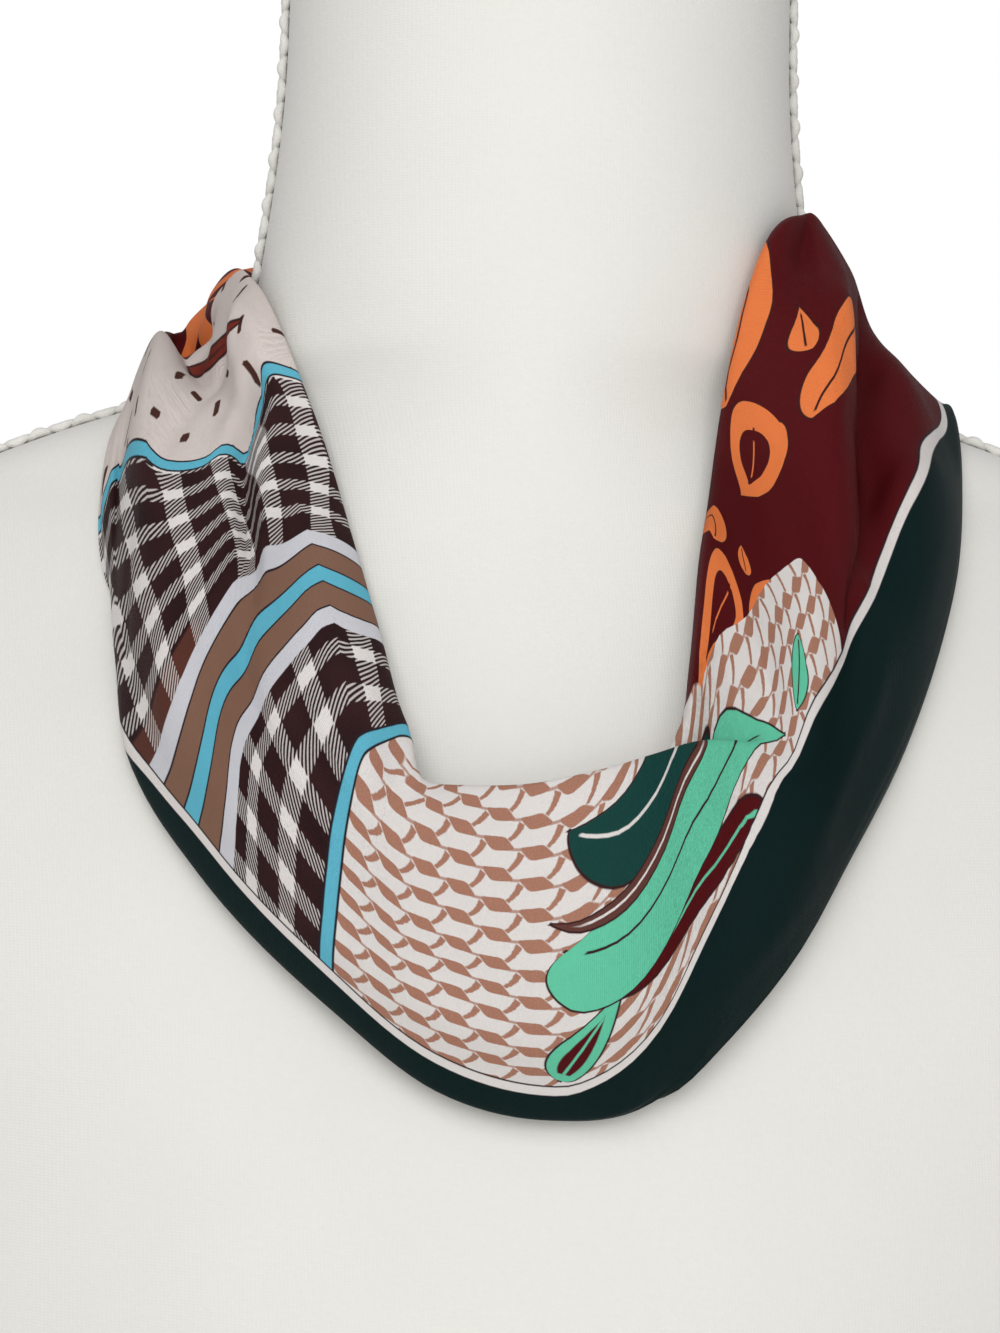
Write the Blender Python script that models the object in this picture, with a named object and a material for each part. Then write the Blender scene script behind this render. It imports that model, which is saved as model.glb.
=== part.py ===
"""Printed scarf necklace resting on a limbless display bust.

Metres, +Z up.  The origin is on the table, under the axis of the neck.  -Y is the front.
A "turn" is an angle round the neck's axis: 0 at the front, positive towards +X.
A "reach" is a distance from that axis.  The tables are in centimetres and degrees, and
their heights are counted from the level where the neck meets the shoulders at the sides.
"""
import math

import bmesh
import bpy
import numpy as np

CM = 0.01                     # metres in a centimetre

# ---- driving sizes, centimetres ----
NECK_LEVEL = 26.0             # side-neck level above the table
BUST_FLOOR = -NECK_LEVEL      # underside of the bust, in the tables' heights
NECK_TOP = 10.5               # flat top of the neck
EDGE_ROUND = 0.8              # rounding of the neck's top edge and of the bottom edge
BUST_SEGMENTS = 36            # sides of one bust ring
BUST_LEVELS = 42              # rings of the bust, evenly spaced down its side seam

CLOTH_WALL = 0.12             # thickness of the scarf's wall
REST_GAP = 0.03               # air between pieces that rest on each other
BRAID_HALF_WIDTH = 0.17       # seam braid, across
BRAID_HALF_HEIGHT = 0.09      # seam braid, out from the cover
BRAID_SIDES = 6
BRAID_PASS = 4.0              # turn, degrees, over which the cloth rises to pass the braid
SEAM_TURN = 0.35              # turn left open between two stretches of the scarf
FOLD_WIDTH = 0.26             # how wide the cloth stays where it turns back on itself

NECK_SWELL_POWER = 8          # how closely the swelling under the neck keeps to the middle

# Rings of the bust: an oval as deep as the shoulders, with a swelling in front and behind
# that fills it out to the middle's depth.
# height, half_width, front, back, shoulder
BUST_RINGS = (
    (10.5, 5.38, 5.40, 5.30, 5.30),
    (8.0, 5.40, 5.45, 5.35, 5.35),
    (5.0, 5.48, 5.52, 5.50, 5.50),
    (2.5, 5.75, 5.62, 5.80, 5.60),
    (1.0, 5.98, 5.72, 6.15, 5.70),
    (0.2, 6.18, 5.80, 6.45, 5.60),
    (-0.5, 6.60, 5.87, 6.80, 5.30),
    (-1.0, 7.35, 5.93, 7.05, 4.55),
    (-1.4, 8.20, 5.98, 7.25, 3.90),
    (-2.0, 10.00, 6.06, 7.50, 3.30),
    (-3.0, 12.50, 6.24, 7.90, 3.30),
    (-4.2, 15.00, 6.52, 8.30, 3.70),
    (-6.0, 16.90, 7.08, 8.80, 4.60),
    (-8.5, 17.90, 8.00, 9.30, 6.20),
    (-12.0, 17.90, 9.05, 9.80, 8.20),
    (-16.0, 17.20, 10.05, 10.10, 9.30),
    (-20.0, 16.60, 10.90, 10.00, 10.00),
    (-26.0, 16.10, 11.40, 9.60, 10.40),
)

# The scarf is one strip.  Each line below runs the whole way round it, from the free edge
# inside, over the folds, to the printed hem, and a section of the cloth passes through all
# of them.  Share is how far along the print's slant the line lies, from fold to hem.
# name: (share, spans to the next line, ((turn, reach, height), ...))
FOLD_LINES = {
    "facing_edge": (0.0, 1, (
        (-180, 6.75, 0.7), (-130, 6.65, 0.5), (-90, 6.75, -0.1), (-70, 6.85, -0.8), (-47, 7.3, -3.2),
        (-35, 8.0, -5.6), (-24, 8.75, -8.7), (-14, 9.05, -10.4), (0, 9.15, -11.0), (12, 9.15, -10.7),
        (20, 8.95, -9.6), (27, 8.2, -7.3), (35, 7.3, -4.6), (45, 6.75, -1.8), (60, 6.5, -0.3),
        (90, 6.75, -0.1), (130, 6.65, 0.5))),
    "inner_fold": (0.0, 2, (
        (-180, 6.3, 2.75), (-130, 6.25, 2.2), (-90, 6.4, 0.7), (-70, 6.35, 0.1), (-47, 6.8, -2.3),
        (-35, 7.45, -4.6), (-24, 8.2, -7.3), (-16, 8.75, -9.0), (-8, 9.1, -9.55), (4, 9.2, -9.45),
        (12, 9.2, -8.87), (19, 9.15, -7.8), (21, 8.7, -6.9), (26, 7.65, -4.7), (30, 7.1, -3.55),
        (35, 6.6, -1.9), (40, 6.35, -0.25), (47, 6.2, 1.35), (65, 6.12, 2.55), (78, 6.12, 2.3),
        (92, 6.14, 2.3), (130, 6.15, 2.8))),
    "tuck": (0.0, 3, (
        (-180, 6.45, 3.05), (-130, 6.38, 2.52), (-90, 6.28, 1.1), (-70, 6.2, 0.65), (-47, 6.5, -1.75),
        (-35, 7.0, -3.75), (-24, 7.85, -6.5), (-16, 8.85, -8.45), (-12, 9.35, -9.3), (-8, 9.55, -9.9),
        (4, 9.65, -10.0), (14, 9.7, -9.45), (21, 9.75, -8.6), (27, 9.75, -7.5), (30, 8.9, -5.6),
        (34, 8.3, -4.0), (38, 7.85, -2.0), (42, 7.45, -0.4), (49, 6.95, 0.9), (55, 6.62, 1.5),
        (60, 6.43, 2.08), (66, 6.27, 2.68), (78, 6.28, 2.45), (92, 6.32, 2.45), (130, 6.35, 3.0))),
    "top_fold": (0.02, 4, (
        (-180, 6.7, 2.9), (-130, 6.6, 2.38), (-90, 6.52, 1.5), (-73, 6.38, 1.25), (-61, 6.32, 0.54),
        (-47, 6.42, -1.2), (-35, 6.9, -3.0), (-29, 7.25, -4.3), (-24, 7.62, -5.5), (-20, 8.1, -6.45),
        (-16, 8.72, -7.6), (-13, 9.3, -8.35), (-11.5, 9.75, -8.95), (-8, 9.9, -9.1), (0, 9.95, -9.05),
        (8, 9.97, -8.75), (18, 10.02, -8.25), (27, 10.15, -8.15), (32, 9.85, -6.8), (34.5, 9.55, -5.6),
        (38, 9.2, -4.1), (41, 8.85, -2.5), (45, 8.35, -0.9), (49, 7.8, 0.35), (56, 7.0, 1.5),
        (66, 6.48, 2.45), (78, 6.48, 2.15), (92, 6.52, 2.2), (130, 6.6, 2.8))),
    "crest": (0.12, 3, (
        (-180, 7.15, 2.1), (-130, 7.0, 1.8), (-100, 6.9, 1.3), (-85, 6.9, 1.0), (-73, 6.8, 0.7),
        (-57, 6.9, -0.15), (-49, 7.05, -1.5), (-41, 7.35, -2.8), (-34.5, 7.8, -4.0), (-28.5, 8.3, -5.2),
        (-24, 8.8, -6.4), (-20.5, 9.4, -7.5), (-16.5, 10.05, -8.7), (-8, 10.3, -9.7), (0, 10.35, -9.8),
        (15, 10.5, -9.35), (28, 10.45, -8.8), (32.6, 10.15, -7.5), (38.5, 9.7, -5.6), (41.7, 9.3, -4.0),
        (45, 8.85, -2.4), (49, 8.4, -1.2), (52, 8.0, 0.2), (57, 7.5, 1.1), (66, 7.0, 1.6), (90, 6.85, 1.7),
        (130, 7.05, 2.3))),
    "groove": (0.33, 3, (
        (-180, 6.95, 1.1), (-130, 7.05, 0.9), (-108, 7.6, 0.35), (-101, 7.7, 0.6), (-95, 7.5, -0.3),
        (-86, 7.45, -0.7), (-78, 7.5, -0.55), (-66, 7.45, -1.2), (-52, 7.65, -1.9), (-46, 7.8, -2.7),
        (-42, 8.05, -3.8), (-39, 8.5, -5.0), (-36, 9.1, -6.3), (-31, 9.8, -7.8), (-22, 10.3, -9.4),
        (-12, 10.6, -10.6), (0, 10.75, -11.0), (10, 10.85, -10.8), (20, 10.9, -10.2), (28, 10.7, -9.4),
        (34, 10.3, -7.9), (40.3, 9.9, -6.0), (45.7, 9.3, -4.8), (49, 8.7, -3.6), (54.5, 8.2, -2.4),
        (60, 7.8, -1.2), (66, 7.4, 0.0), (75, 7.3, 0.45), (90, 7.35, 0.5), (130, 7.0, 1.2))),
    "ridge": (0.6, 2, (
        (-180, 7.95, 0.1), (-130, 8.0, 0.1), (-100, 7.95, 0.3), (-85, 8.0, 0.05), (-73, 8.1, -0.2),
        (-63, 8.7, -1.5), (-57, 9.1, -2.9), (-51.5, 9.5, -4.2), (-46, 9.95, -5.6), (-40, 10.3, -7.1),
        (-34, 10.5, -8.6), (-26, 10.7, -10.2), (-17, 10.85, -11.4), (0, 10.95, -12.1), (15, 11.0, -11.8),
        (28, 10.95, -10.2), (36, 10.5, -8.3), (43, 10.1, -6.4), (50.6, 9.7, -4.8), (55.6, 9.25, -3.1),
        (64, 8.8, -1.95), (69.5, 8.2, -0.6), (85, 7.95, -0.2), (130, 8.15, 0.2))),
    "belly": (0.8, 2, (
        (-180, 8.15, -1.5), (-130, 8.6, -1.5), (-100, 8.3, -0.6), (-89, 8.2, -0.5), (-78, 8.5, -1.0),
        (-68, 9.05, -3.2), (-60, 9.5, -4.7), (-50, 10.1, -6.9), (-40, 10.45, -8.9), (-30, 10.65, -10.4),
        (-18, 10.9, -12.1), (-8, 11.05, -13.05), (4, 11.1, -13.4), (16, 11.05, -12.8), (30, 10.8, -10.7),
        (40.5, 10.3, -7.9), (53, 9.9, -5.2), (61, 9.5, -3.3), (72.6, 9.05, -2.05), (85, 8.8, -1.0),
        (130, 8.7, -1.5))),
    "hem_turn": (0.93, 2, (
        (-180, 8.3, -2.6), (-150, 8.3, -2.6), (-120, 8.8, -2.0), (-100, 8.4, -1.1), (-89, 8.3, -0.9),
        (-80, 8.6, -1.4), (-74, 9.0, -2.3), (-60, 9.6, -5.2), (-54, 9.9, -6.9), (-47, 10.3, -8.9),
        (-36, 10.3, -10.85), (-19, 10.35, -13.2), (-8, 10.35, -14.55), (4, 10.25, -15.03),
        (12, 10.45, -14.78), (16, 10.6, -14.2), (20, 10.75, -13.3), (30, 10.6, -11.45), (36, 10.45, -10.05),
        (46, 10.15, -8.05), (61, 9.78, -4.85), (74, 9.33, -2.6), (89, 9.1, -1.1), (105, 9.1, -1.5),
        (130, 8.8, -2.4))),
    "hem": (1.0, 0, (
        (-180, 8.3, -3.0), (-150, 8.3, -3.0), (-120, 8.85, -2.4), (-100, 8.5, -1.5), (-89, 8.4, -1.3),
        (-80, 8.75, -1.9), (-74, 9.15, -2.85), (-61, 9.55, -5.55), (-57, 9.5, -6.1), (-54, 9.55, -6.6),
        (-47, 9.87, -8.1), (-36, 9.85, -9.95), (-19, 9.85, -12.4), (-8, 9.8, -13.95), (4, 9.8, -14.65),
        (12, 10.1, -14.72), (16, 10.42, -14.5), (20, 10.55, -13.8), (30, 10.45, -11.9), (36, 10.3, -10.5),
        (46, 10.05, -8.5), (61, 9.73, -5.3), (74, 9.3, -3.0), (89, 9.1, -1.5), (105, 9.1, -1.9),
        (130, 8.8, -2.8))),
}

# How far the hem runs ahead of the fold, in degrees, for a section that starts at each turn.
# turn, slant
PRINT_SLANT = (
    (-180, 0), (-130, -4), (-90, -9), (-51, -17), (-34, -17), (-28.7, -16), (-21, -10),
    (-14, -5.5), (0, 0), (12, 3), (20, 6), (27, 13), (45, 20), (64, 16), (90, 6), (130, 2),
)

# Stretches of the strip, in the order that they are met from the wearer's right round.
# name, from_turn, to_turn, columns, colour
STRETCHES = (
    ("scarf_left_stretch", -114.0, -12.0, 30, (0.05, 0.02, 0.02)),
    ("scarf_front_drape", -12.0, 27.0, 14, (0.68, 0.55, 0.47)),
    ("scarf_right_stretch", 27.0, 100.0, 24, (0.10, 0.008, 0.012)),
    ("scarf_back_stretch", 100.0, 246.0, 20, (0.10, 0.008, 0.012)),
)

COVER_WHITE = (0.80, 0.79, 0.75)
BRAID_WHITE = (0.86, 0.85, 0.81)


def clear_scene():
    """Remove every object of the scene that the script starts in."""
    for item in list(bpy.data.objects):
        bpy.data.objects.remove(item, do_unlink=True)


def finish(name, colour, roughness):
    """Return a plain Principled material."""
    material = bpy.data.materials.new(name)
    material.use_nodes = True
    shader = material.node_tree.nodes["Principled BSDF"]
    shader.inputs["Base Color"].default_value = (*colour, 1.0)
    shader.inputs["Roughness"].default_value = roughness
    shader.inputs["Metallic"].default_value = 0.0
    return material


def smooth_through(knots, values, at):
    """Read a smooth curve through rising knots that never swings past its values."""
    step = np.diff(knots)
    rise = np.diff(values) / step
    slope = np.zeros(len(values))
    before, after = rise[:-1], rise[1:]
    mean = (before * step[1:] + after * step[:-1]) / (step[1:] + step[:-1])
    limit = 3.0 * np.minimum(np.abs(before), np.abs(after))
    slope[1:-1] = np.where(before * after > 0, np.sign(mean) * np.minimum(np.abs(mean), limit), 0.0)
    at = np.clip(at, knots[0], knots[-1])
    i = np.clip(np.searchsorted(knots, at) - 1, 0, len(step) - 1)
    u = (at - knots[i]) / step[i]
    return ((1 + 2 * u) * (1 - u) ** 2 * values[i] + u * (1 - u) ** 2 * step[i] * slope[i]
            + u * u * (3 - 2 * u) * values[i + 1] + u * u * (u - 1) * step[i] * slope[i + 1])


def round_the_neck(rows, turn):
    """Read a table that closes on itself after a full turn, one array for each column."""
    table = np.array(rows, float)
    table = table[np.argsort(table[:, 0])]
    whole = np.vstack([table - [360.0] + [[0.0] + [360.0] * (table.shape[1] - 1)], table, table])
    whole[2 * len(table):, 0] += 360.0
    turn = (np.asarray(turn, float) + 180.0) % 360.0 - 180.0
    return [smooth_through(whole[:, 0], whole[:, c], turn) for c in range(1, table.shape[1])]


def ring_sizes(height):
    """Return half width, front, back and shoulder depth of the bust at each height."""
    table = np.array(BUST_RINGS)[::-1]
    return [smooth_through(table[:, 0], table[:, c], np.asarray(height, float)) for c in range(1, 5)]


def ring_depth(middle, shoulder, lean):
    """Return how deep a ring is where its oval has turned by lean from the middle."""
    oval = np.minimum(shoulder, middle)
    return oval * np.cos(lean) + (middle - oval) * np.cos(lean) ** NECK_SWELL_POWER


def bust_reach(turn, height):
    """Return how far the bust's surface is from the neck's axis, by halving intervals."""
    half_width, front, back, shoulder = ring_sizes(height)
    angle = np.abs(np.radians((np.asarray(turn, float) + 180.0) % 360.0 - 180.0))
    middle = np.where(angle <= math.pi / 2, front, back)
    aim = np.minimum(angle, math.pi - angle)
    low, high = np.zeros_like(aim), np.full_like(aim, math.pi / 2)
    for _ in range(26):
        lean = (low + high) / 2
        found = np.arctan2(half_width * np.sin(lean), ring_depth(middle, shoulder, lean))
        low, high = np.where(found < aim, lean, low), np.where(found < aim, high, lean)
    return np.hypot(half_width * np.sin(low), ring_depth(middle, shoulder, low))


def turn_and_reach(points):
    """Return the turn and the reach of points."""
    return (np.degrees(np.arctan2(points[..., 0], -points[..., 1])),
            np.hypot(points[..., 0], points[..., 1]))


def settle_outside(points):
    """Lift points of the cloth's middle surface until they clear the bust and its braids."""
    lift = CLOTH_WALL / 2 + REST_GAP + 0.03
    over_braid = 2 * BRAID_HALF_HEIGHT + REST_GAP
    for _ in range(3):
        turn, reach = turn_and_reach(points)
        height = points[..., 2]
        step = 0.05
        out = bust_reach(turn, height)
        by_height = (bust_reach(turn, height + step) - out) / step
        by_turn = (bust_reach(turn + 1.0, height) - out) / (reach * math.radians(1.0))
        steep = np.sqrt(1.0 + by_height ** 2 + by_turn ** 2)
        wanted = lift + over_braid * np.exp(-((np.abs(turn) - 90.0) / BRAID_PASS) ** 2)
        short = np.maximum(wanted - (reach - out) / steep, 0.0) / steep
        a = np.radians(turn)
        away = np.stack([np.sin(a) - by_turn * np.cos(a), -np.cos(a) - by_turn * np.sin(a), -by_height], -1)
        points = points + short[..., None] * away
    return points


def rounded_fold(before, fold, after):
    """Return three points that turn round a fold, from its corner and its neighbours."""
    lengths = [np.linalg.norm(end - fold) for end in (before, after)]
    ways = [(before - fold) / lengths[0], (after - fold) / lengths[1]]
    half = min(FOLD_WIDTH / 2, 0.45 * min(lengths))
    aside, back = ways[0] - ways[1], ways[0] + ways[1]
    aside *= half / np.linalg.norm(aside)
    back *= half / 2 * max(float(np.dot(*ways)), 0.0) / np.linalg.norm(back)
    return fold + aside + back, fold, fold - aside + back


def section(turn):
    """Return the points of one section: where it crosses each fold line."""
    slant = round_the_neck(PRINT_SLANT, turn)[0]
    points = []
    for share, _, rows in FOLD_LINES.values():
        here = turn + slant * share
        reach, height = round_the_neck(rows, here)
        a = math.radians(float(here))
        points.append((float(reach) * math.sin(a), -float(reach) * math.cos(a), float(height)))
    points = np.array(points)
    return np.vstack([points[:1], rounded_fold(*points[:3]), points[2:-2], rounded_fold(*points[-3:]),
                      points[-1:]])


def curve_through(points, spans):
    """Read a round curve through points, with a number of steps in each span."""
    padded = np.vstack([2 * points[0] - points[1], points, 2 * points[-1] - points[-2]])
    curve = []
    for i, steps in enumerate(spans):
        p = padded[i:i + 4]
        knot = np.concatenate([[0.0], np.cumsum(np.linalg.norm(np.diff(p, axis=0), axis=1) ** 0.5)])
        for k in range(steps):
            t = knot[1] + (knot[2] - knot[1]) * k / steps
            level = list(p)
            for width in (1, 2, 3):
                level = [((knot[j + width] - t) * level[j] + (t - knot[j]) * level[j + 1])
                         / (knot[j + width] - knot[j]) if width < 3 else
                         ((knot[2] - t) * level[0] + (t - knot[1]) * level[1]) / (knot[2] - knot[1])
                         for j in range(4 - width)]
            curve.append(level[0])
    curve.append(points[-1])
    return np.array(curve)


def scarf_columns():
    """Return the turn of every column and the slice of columns of each stretch."""
    turns, slices = [], []
    for _, start, end, count, _ in STRETCHES:
        first = len(turns)
        turns += list(np.linspace(start + SEAM_TURN / 2, end - SEAM_TURN / 2, count))
        slices.append(slice(first, len(turns)))
    return turns, slices


def scarf_surface(turns, slices):
    """Return the middle surface of the cloth and its printed side's normals."""
    spans = [row[1] for row in FOLD_LINES.values()][:-1]
    spans[1:1] = spans[-1:-1] = (1, 1)
    grid = np.array([curve_through(section(turn), spans) for turn in turns])
    grid = settle_outside(grid)
    along = np.roll(grid, -1, axis=0) - np.roll(grid, 1, axis=0)
    across = np.gradient(grid, axis=1)
    normal = np.cross(across, along)
    for first in (part.start for part in slices):
        normal[first] = normal[first - 1] = normal[first] + normal[first - 1]
    return grid, normal / np.linalg.norm(normal, axis=2, keepdims=True)


def placed(point):
    """Turn a point of the tables, in centimetres, into metres above the table."""
    return (point[0] * CM, point[1] * CM, (point[2] + NECK_LEVEL) * CM)


def make_object(name, vertices, faces, material):
    """Make one closed, smooth-shaded object."""
    mesh = bpy.data.meshes.new(name)
    mesh.from_pydata([placed(v) for v in vertices], [], faces)
    mesh.materials.append(material)
    work = bmesh.new()
    work.from_mesh(mesh)
    bmesh.ops.triangulate(work, faces=work.faces)
    bmesh.ops.recalc_face_normals(work, faces=work.faces)
    work.to_mesh(mesh)
    work.free()
    mesh.shade_smooth()
    mesh.set_sharp_from_angle(angle=math.radians(50.0))
    item = bpy.data.objects.new(name, mesh)
    bpy.context.scene.collection.objects.link(item)
    return item


def make_wall(name, middle, normal, material):
    """Make a cloth wall: two skins, half a wall either side of the middle, and four rims."""
    columns, rows = middle.shape[:2]
    outer = (middle + normal * CLOTH_WALL / 2).reshape(-1, 3)
    inner = (middle - normal * CLOTH_WALL / 2).reshape(-1, 3)
    back = columns * rows
    faces = []
    for i in range(columns - 1):
        for j in range(rows - 1):
            a, b, c, d = i * rows + j, (i + 1) * rows + j, (i + 1) * rows + j + 1, i * rows + j + 1
            faces += [(a, d, c, b), (back + a, back + b, back + c, back + d)]
    rim = [i * rows for i in range(columns)]
    rim += [(columns - 1) * rows + j for j in range(1, rows)]
    rim += [i * rows + rows - 1 for i in range(columns - 2, -1, -1)]
    rim += [j for j in range(rows - 2, 0, -1)]
    for a, b in zip(rim, rim[1:] + rim[:1]):
        faces.append((a, b, back + b, back + a))
    return make_object(name, np.vstack([outer, inner]), faces, material)


def make_scarf():
    """Make the stretches of the strip."""
    turns, slices = scarf_columns()
    middle, normal = scarf_surface(turns, slices)
    for (name, _, _, _, colour), part in zip(STRETCHES, slices):
        make_wall(name, middle[part], normal[part], finish(name, colour, 0.5))


def side_line():
    """Return evenly spaced points down the side seam, from the neck to the bottom edge."""
    heights = np.linspace(NECK_TOP - EDGE_ROUND, BUST_FLOOR + EDGE_ROUND, 800)
    line = np.column_stack([ring_sizes(heights)[0], np.zeros(len(heights)), heights])
    length = np.concatenate([[0.0], np.cumsum(np.linalg.norm(np.diff(line, axis=0), axis=1))])
    even = np.linspace(0.0, length[-1], BUST_LEVELS)
    return np.column_stack([np.interp(even, length, line[:, c]) for c in range(3)])


def bust_levels():
    """Return height and inset of each bust ring, with both edges rounded."""
    rounding = [(EDGE_ROUND * (1 - math.cos(a)), EDGE_ROUND * (1 - math.sin(a)))
                for a in map(math.radians, (0.0, 30.0, 60.0))]
    top = [(NECK_TOP - down, inset) for down, inset in rounding]
    bottom = [(BUST_FLOOR + up, inset) for up, inset in reversed(rounding)]
    return top + [(height, 0.0) for height in side_line()[:, 2]] + bottom


def bust_ring(height, inset):
    """Return the points of one ring of the bust."""
    half_width, front, back, shoulder = ring_sizes(height)
    ring = []
    for k in range(BUST_SEGMENTS):
        a = 2 * math.pi * k / BUST_SEGMENTS
        ahead = math.cos(a) > 0
        lean = a if ahead else math.pi - a
        depth = float(ring_depth((front if ahead else back) - inset, shoulder - inset, lean))
        ring.append((float(half_width - inset) * math.sin(a), -depth if ahead else depth, height))
    return ring


def make_bust():
    """Make the covered bust: neck, shoulders and chest on a flat underside."""
    rings = [bust_ring(height, inset) for height, inset in bust_levels()]
    vertices = [point for ring in rings for point in ring]
    faces = [tuple(range(BUST_SEGMENTS))]
    for level in range(len(rings) - 1):
        for k in range(BUST_SEGMENTS):
            a, b = level * BUST_SEGMENTS + k, level * BUST_SEGMENTS + (k + 1) % BUST_SEGMENTS
            faces.append((a, a + BUST_SEGMENTS, b + BUST_SEGMENTS, b))
    last = (len(rings) - 1) * BUST_SEGMENTS
    faces.append(tuple(last + k for k in range(BUST_SEGMENTS))[::-1])
    make_object("bust_form", vertices, faces, finish("cover_jersey", COVER_WHITE, 0.9))


def make_braid(name, side, material):
    """Make one seam braid: a flat oval cord laid down the side seam."""
    line = side_line() * [side, 1.0, 1.0]
    run = np.gradient(line, axis=0)
    run /= np.linalg.norm(run, axis=1, keepdims=True)
    across = np.array([0.0, 1.0, 0.0])
    out = np.cross(across, run) * -side
    vertices = []
    for point, away in zip(line, out):
        centre = point + away * (BRAID_HALF_HEIGHT + REST_GAP)
        for k in range(BRAID_SIDES):
            a = 2 * math.pi * (k + 0.5) / BRAID_SIDES
            vertices.append(centre + across * BRAID_HALF_WIDTH * math.cos(a)
                            + away * BRAID_HALF_HEIGHT * math.sin(a))
    faces = [tuple(range(BRAID_SIDES))]
    for i in range(len(line) - 1):
        for k in range(BRAID_SIDES):
            a, b = i * BRAID_SIDES + k, i * BRAID_SIDES + (k + 1) % BRAID_SIDES
            faces.append((a, b, b + BRAID_SIDES, a + BRAID_SIDES))
    last = (len(line) - 1) * BRAID_SIDES
    faces.append(tuple(last + k for k in range(BRAID_SIDES))[::-1])
    make_object(name, vertices, faces, material)


clear_scene()
make_bust()
braid_finish = finish("seam_braid", BRAID_WHITE, 0.8)
make_braid("seam_braid_left", -1.0, braid_finish)
make_braid("seam_braid_right", 1.0, braid_finish)
make_scarf()
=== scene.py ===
"""Printed scarf necklace resting on its limbless display bust, dressed for the shelf.

Metres, +Z up.  The origin is on the table, under the axis of the neck.  -Y is the front.
A "turn" is an angle round the neck's axis: 0 at the front, positive towards +X.
A "reach" is a distance from that axis.  The tables are in centimetres and degrees, and
their heights are counted from the level where the neck meets the shoulders at the sides.
"""
import logging
import math
from collections.abc import Sequence
from dataclasses import dataclass
from enum import Enum, IntEnum

import bpy
import numpy as np
from mathutils import Matrix, Vector


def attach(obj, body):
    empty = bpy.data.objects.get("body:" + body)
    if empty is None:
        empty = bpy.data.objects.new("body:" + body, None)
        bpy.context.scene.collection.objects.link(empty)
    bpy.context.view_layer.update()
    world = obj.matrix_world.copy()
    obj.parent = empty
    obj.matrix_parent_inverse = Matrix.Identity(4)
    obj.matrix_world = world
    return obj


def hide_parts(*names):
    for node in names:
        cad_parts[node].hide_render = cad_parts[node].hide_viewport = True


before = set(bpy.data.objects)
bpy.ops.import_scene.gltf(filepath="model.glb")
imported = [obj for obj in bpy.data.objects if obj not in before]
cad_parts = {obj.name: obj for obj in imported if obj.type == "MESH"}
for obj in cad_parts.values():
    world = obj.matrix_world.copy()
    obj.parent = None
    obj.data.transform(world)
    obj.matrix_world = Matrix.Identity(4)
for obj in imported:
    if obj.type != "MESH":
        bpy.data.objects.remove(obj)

log = logging.getLogger("scarf_necklace")

CM = 0.01                     # metres in a centimetre
NECK_LEVEL = 26.0             # side-neck level above the table, centimetres
Rows = tuple[tuple[float, ...], ...]


def linear(red: int, green: int, blue: int) -> tuple[float, float, float, float]:
    """Turn a screen colour into the linear colour that shaders take.

    Args:
        red: Red, 0 to 255.
        green: Green, 0 to 255.
        blue: Blue, 0 to 255.

    Returns:
        Linear red, green and blue, and an alpha of 1.
    """
    parts = [value / 255.0 for value in (red, green, blue)]
    straight = [v / 12.92 if v <= 0.04045 else ((v + 0.055) / 1.055) ** 2.4 for v in parts]
    return (straight[0], straight[1], straight[2], 1.0)


def smooth_through(knots: np.ndarray, values: np.ndarray, at: np.ndarray | float) -> np.ndarray:
    """Read a smooth curve through rising knots that never swings past its values.

    Args:
        knots: Rising positions.
        values: The curve's value at each knot.
        at: Positions to read.

    Returns:
        The curve's values there.
    """
    step = np.diff(knots)
    rise = np.diff(values) / step
    slope = np.zeros(len(values))
    before, after = rise[:-1], rise[1:]
    mean = (before * step[1:] + after * step[:-1]) / (step[1:] + step[:-1])
    limit = 3.0 * np.minimum(np.abs(before), np.abs(after))
    slope[1:-1] = np.where(before * after > 0, np.sign(mean) * np.minimum(np.abs(mean), limit), 0.0)
    at = np.clip(at, knots[0], knots[-1])
    i = np.clip(np.searchsorted(knots, at) - 1, 0, len(step) - 1)
    u = (at - knots[i]) / step[i]
    return ((1 + 2 * u) * (1 - u) ** 2 * values[i] + u * (1 - u) ** 2 * step[i] * slope[i]
            + u * u * (3 - 2 * u) * values[i + 1] + u * u * (u - 1) * step[i] * slope[i + 1])


def round_the_neck(rows: Rows, turn: np.ndarray) -> list[np.ndarray]:
    """Read a table that closes on itself after a full turn.

    Args:
        rows: Rows that start with a turn.
        turn: Turns to read at, degrees.

    Returns:
        One array for each column after the turn.
    """
    table = np.array(rows, float)
    table = table[np.argsort(table[:, 0])]
    whole = np.vstack([table - [360.0] + [[0.0] + [360.0] * (table.shape[1] - 1)], table, table])
    whole[2 * len(table):, 0] += 360.0
    turn = (np.asarray(turn, float) + 180.0) % 360.0 - 180.0
    return [smooth_through(whole[:, 0], whole[:, c], turn) for c in range(1, table.shape[1])]


def placed(points: np.ndarray) -> np.ndarray:
    """Turn points of the tables, in centimetres, into metres above the table."""
    return (points + [0.0, 0.0, NECK_LEVEL]) * CM


def turn_and_reach(points: np.ndarray) -> tuple[np.ndarray, np.ndarray]:
    """Return the turn, in degrees, and the reach of points."""
    return (np.degrees(np.arctan2(points[..., 0], -points[..., 1])),
            np.hypot(points[..., 0], points[..., 1]))


def unit(vectors: np.ndarray) -> np.ndarray:
    """Return vectors of length one along the last axis."""
    return vectors / np.linalg.norm(vectors, axis=-1, keepdims=True)


def distances(line: np.ndarray) -> np.ndarray:
    """Return the distance along a line to each of its points."""
    return np.concatenate([[0.0], np.cumsum(np.linalg.norm(np.diff(line, axis=0), axis=1))])


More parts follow.
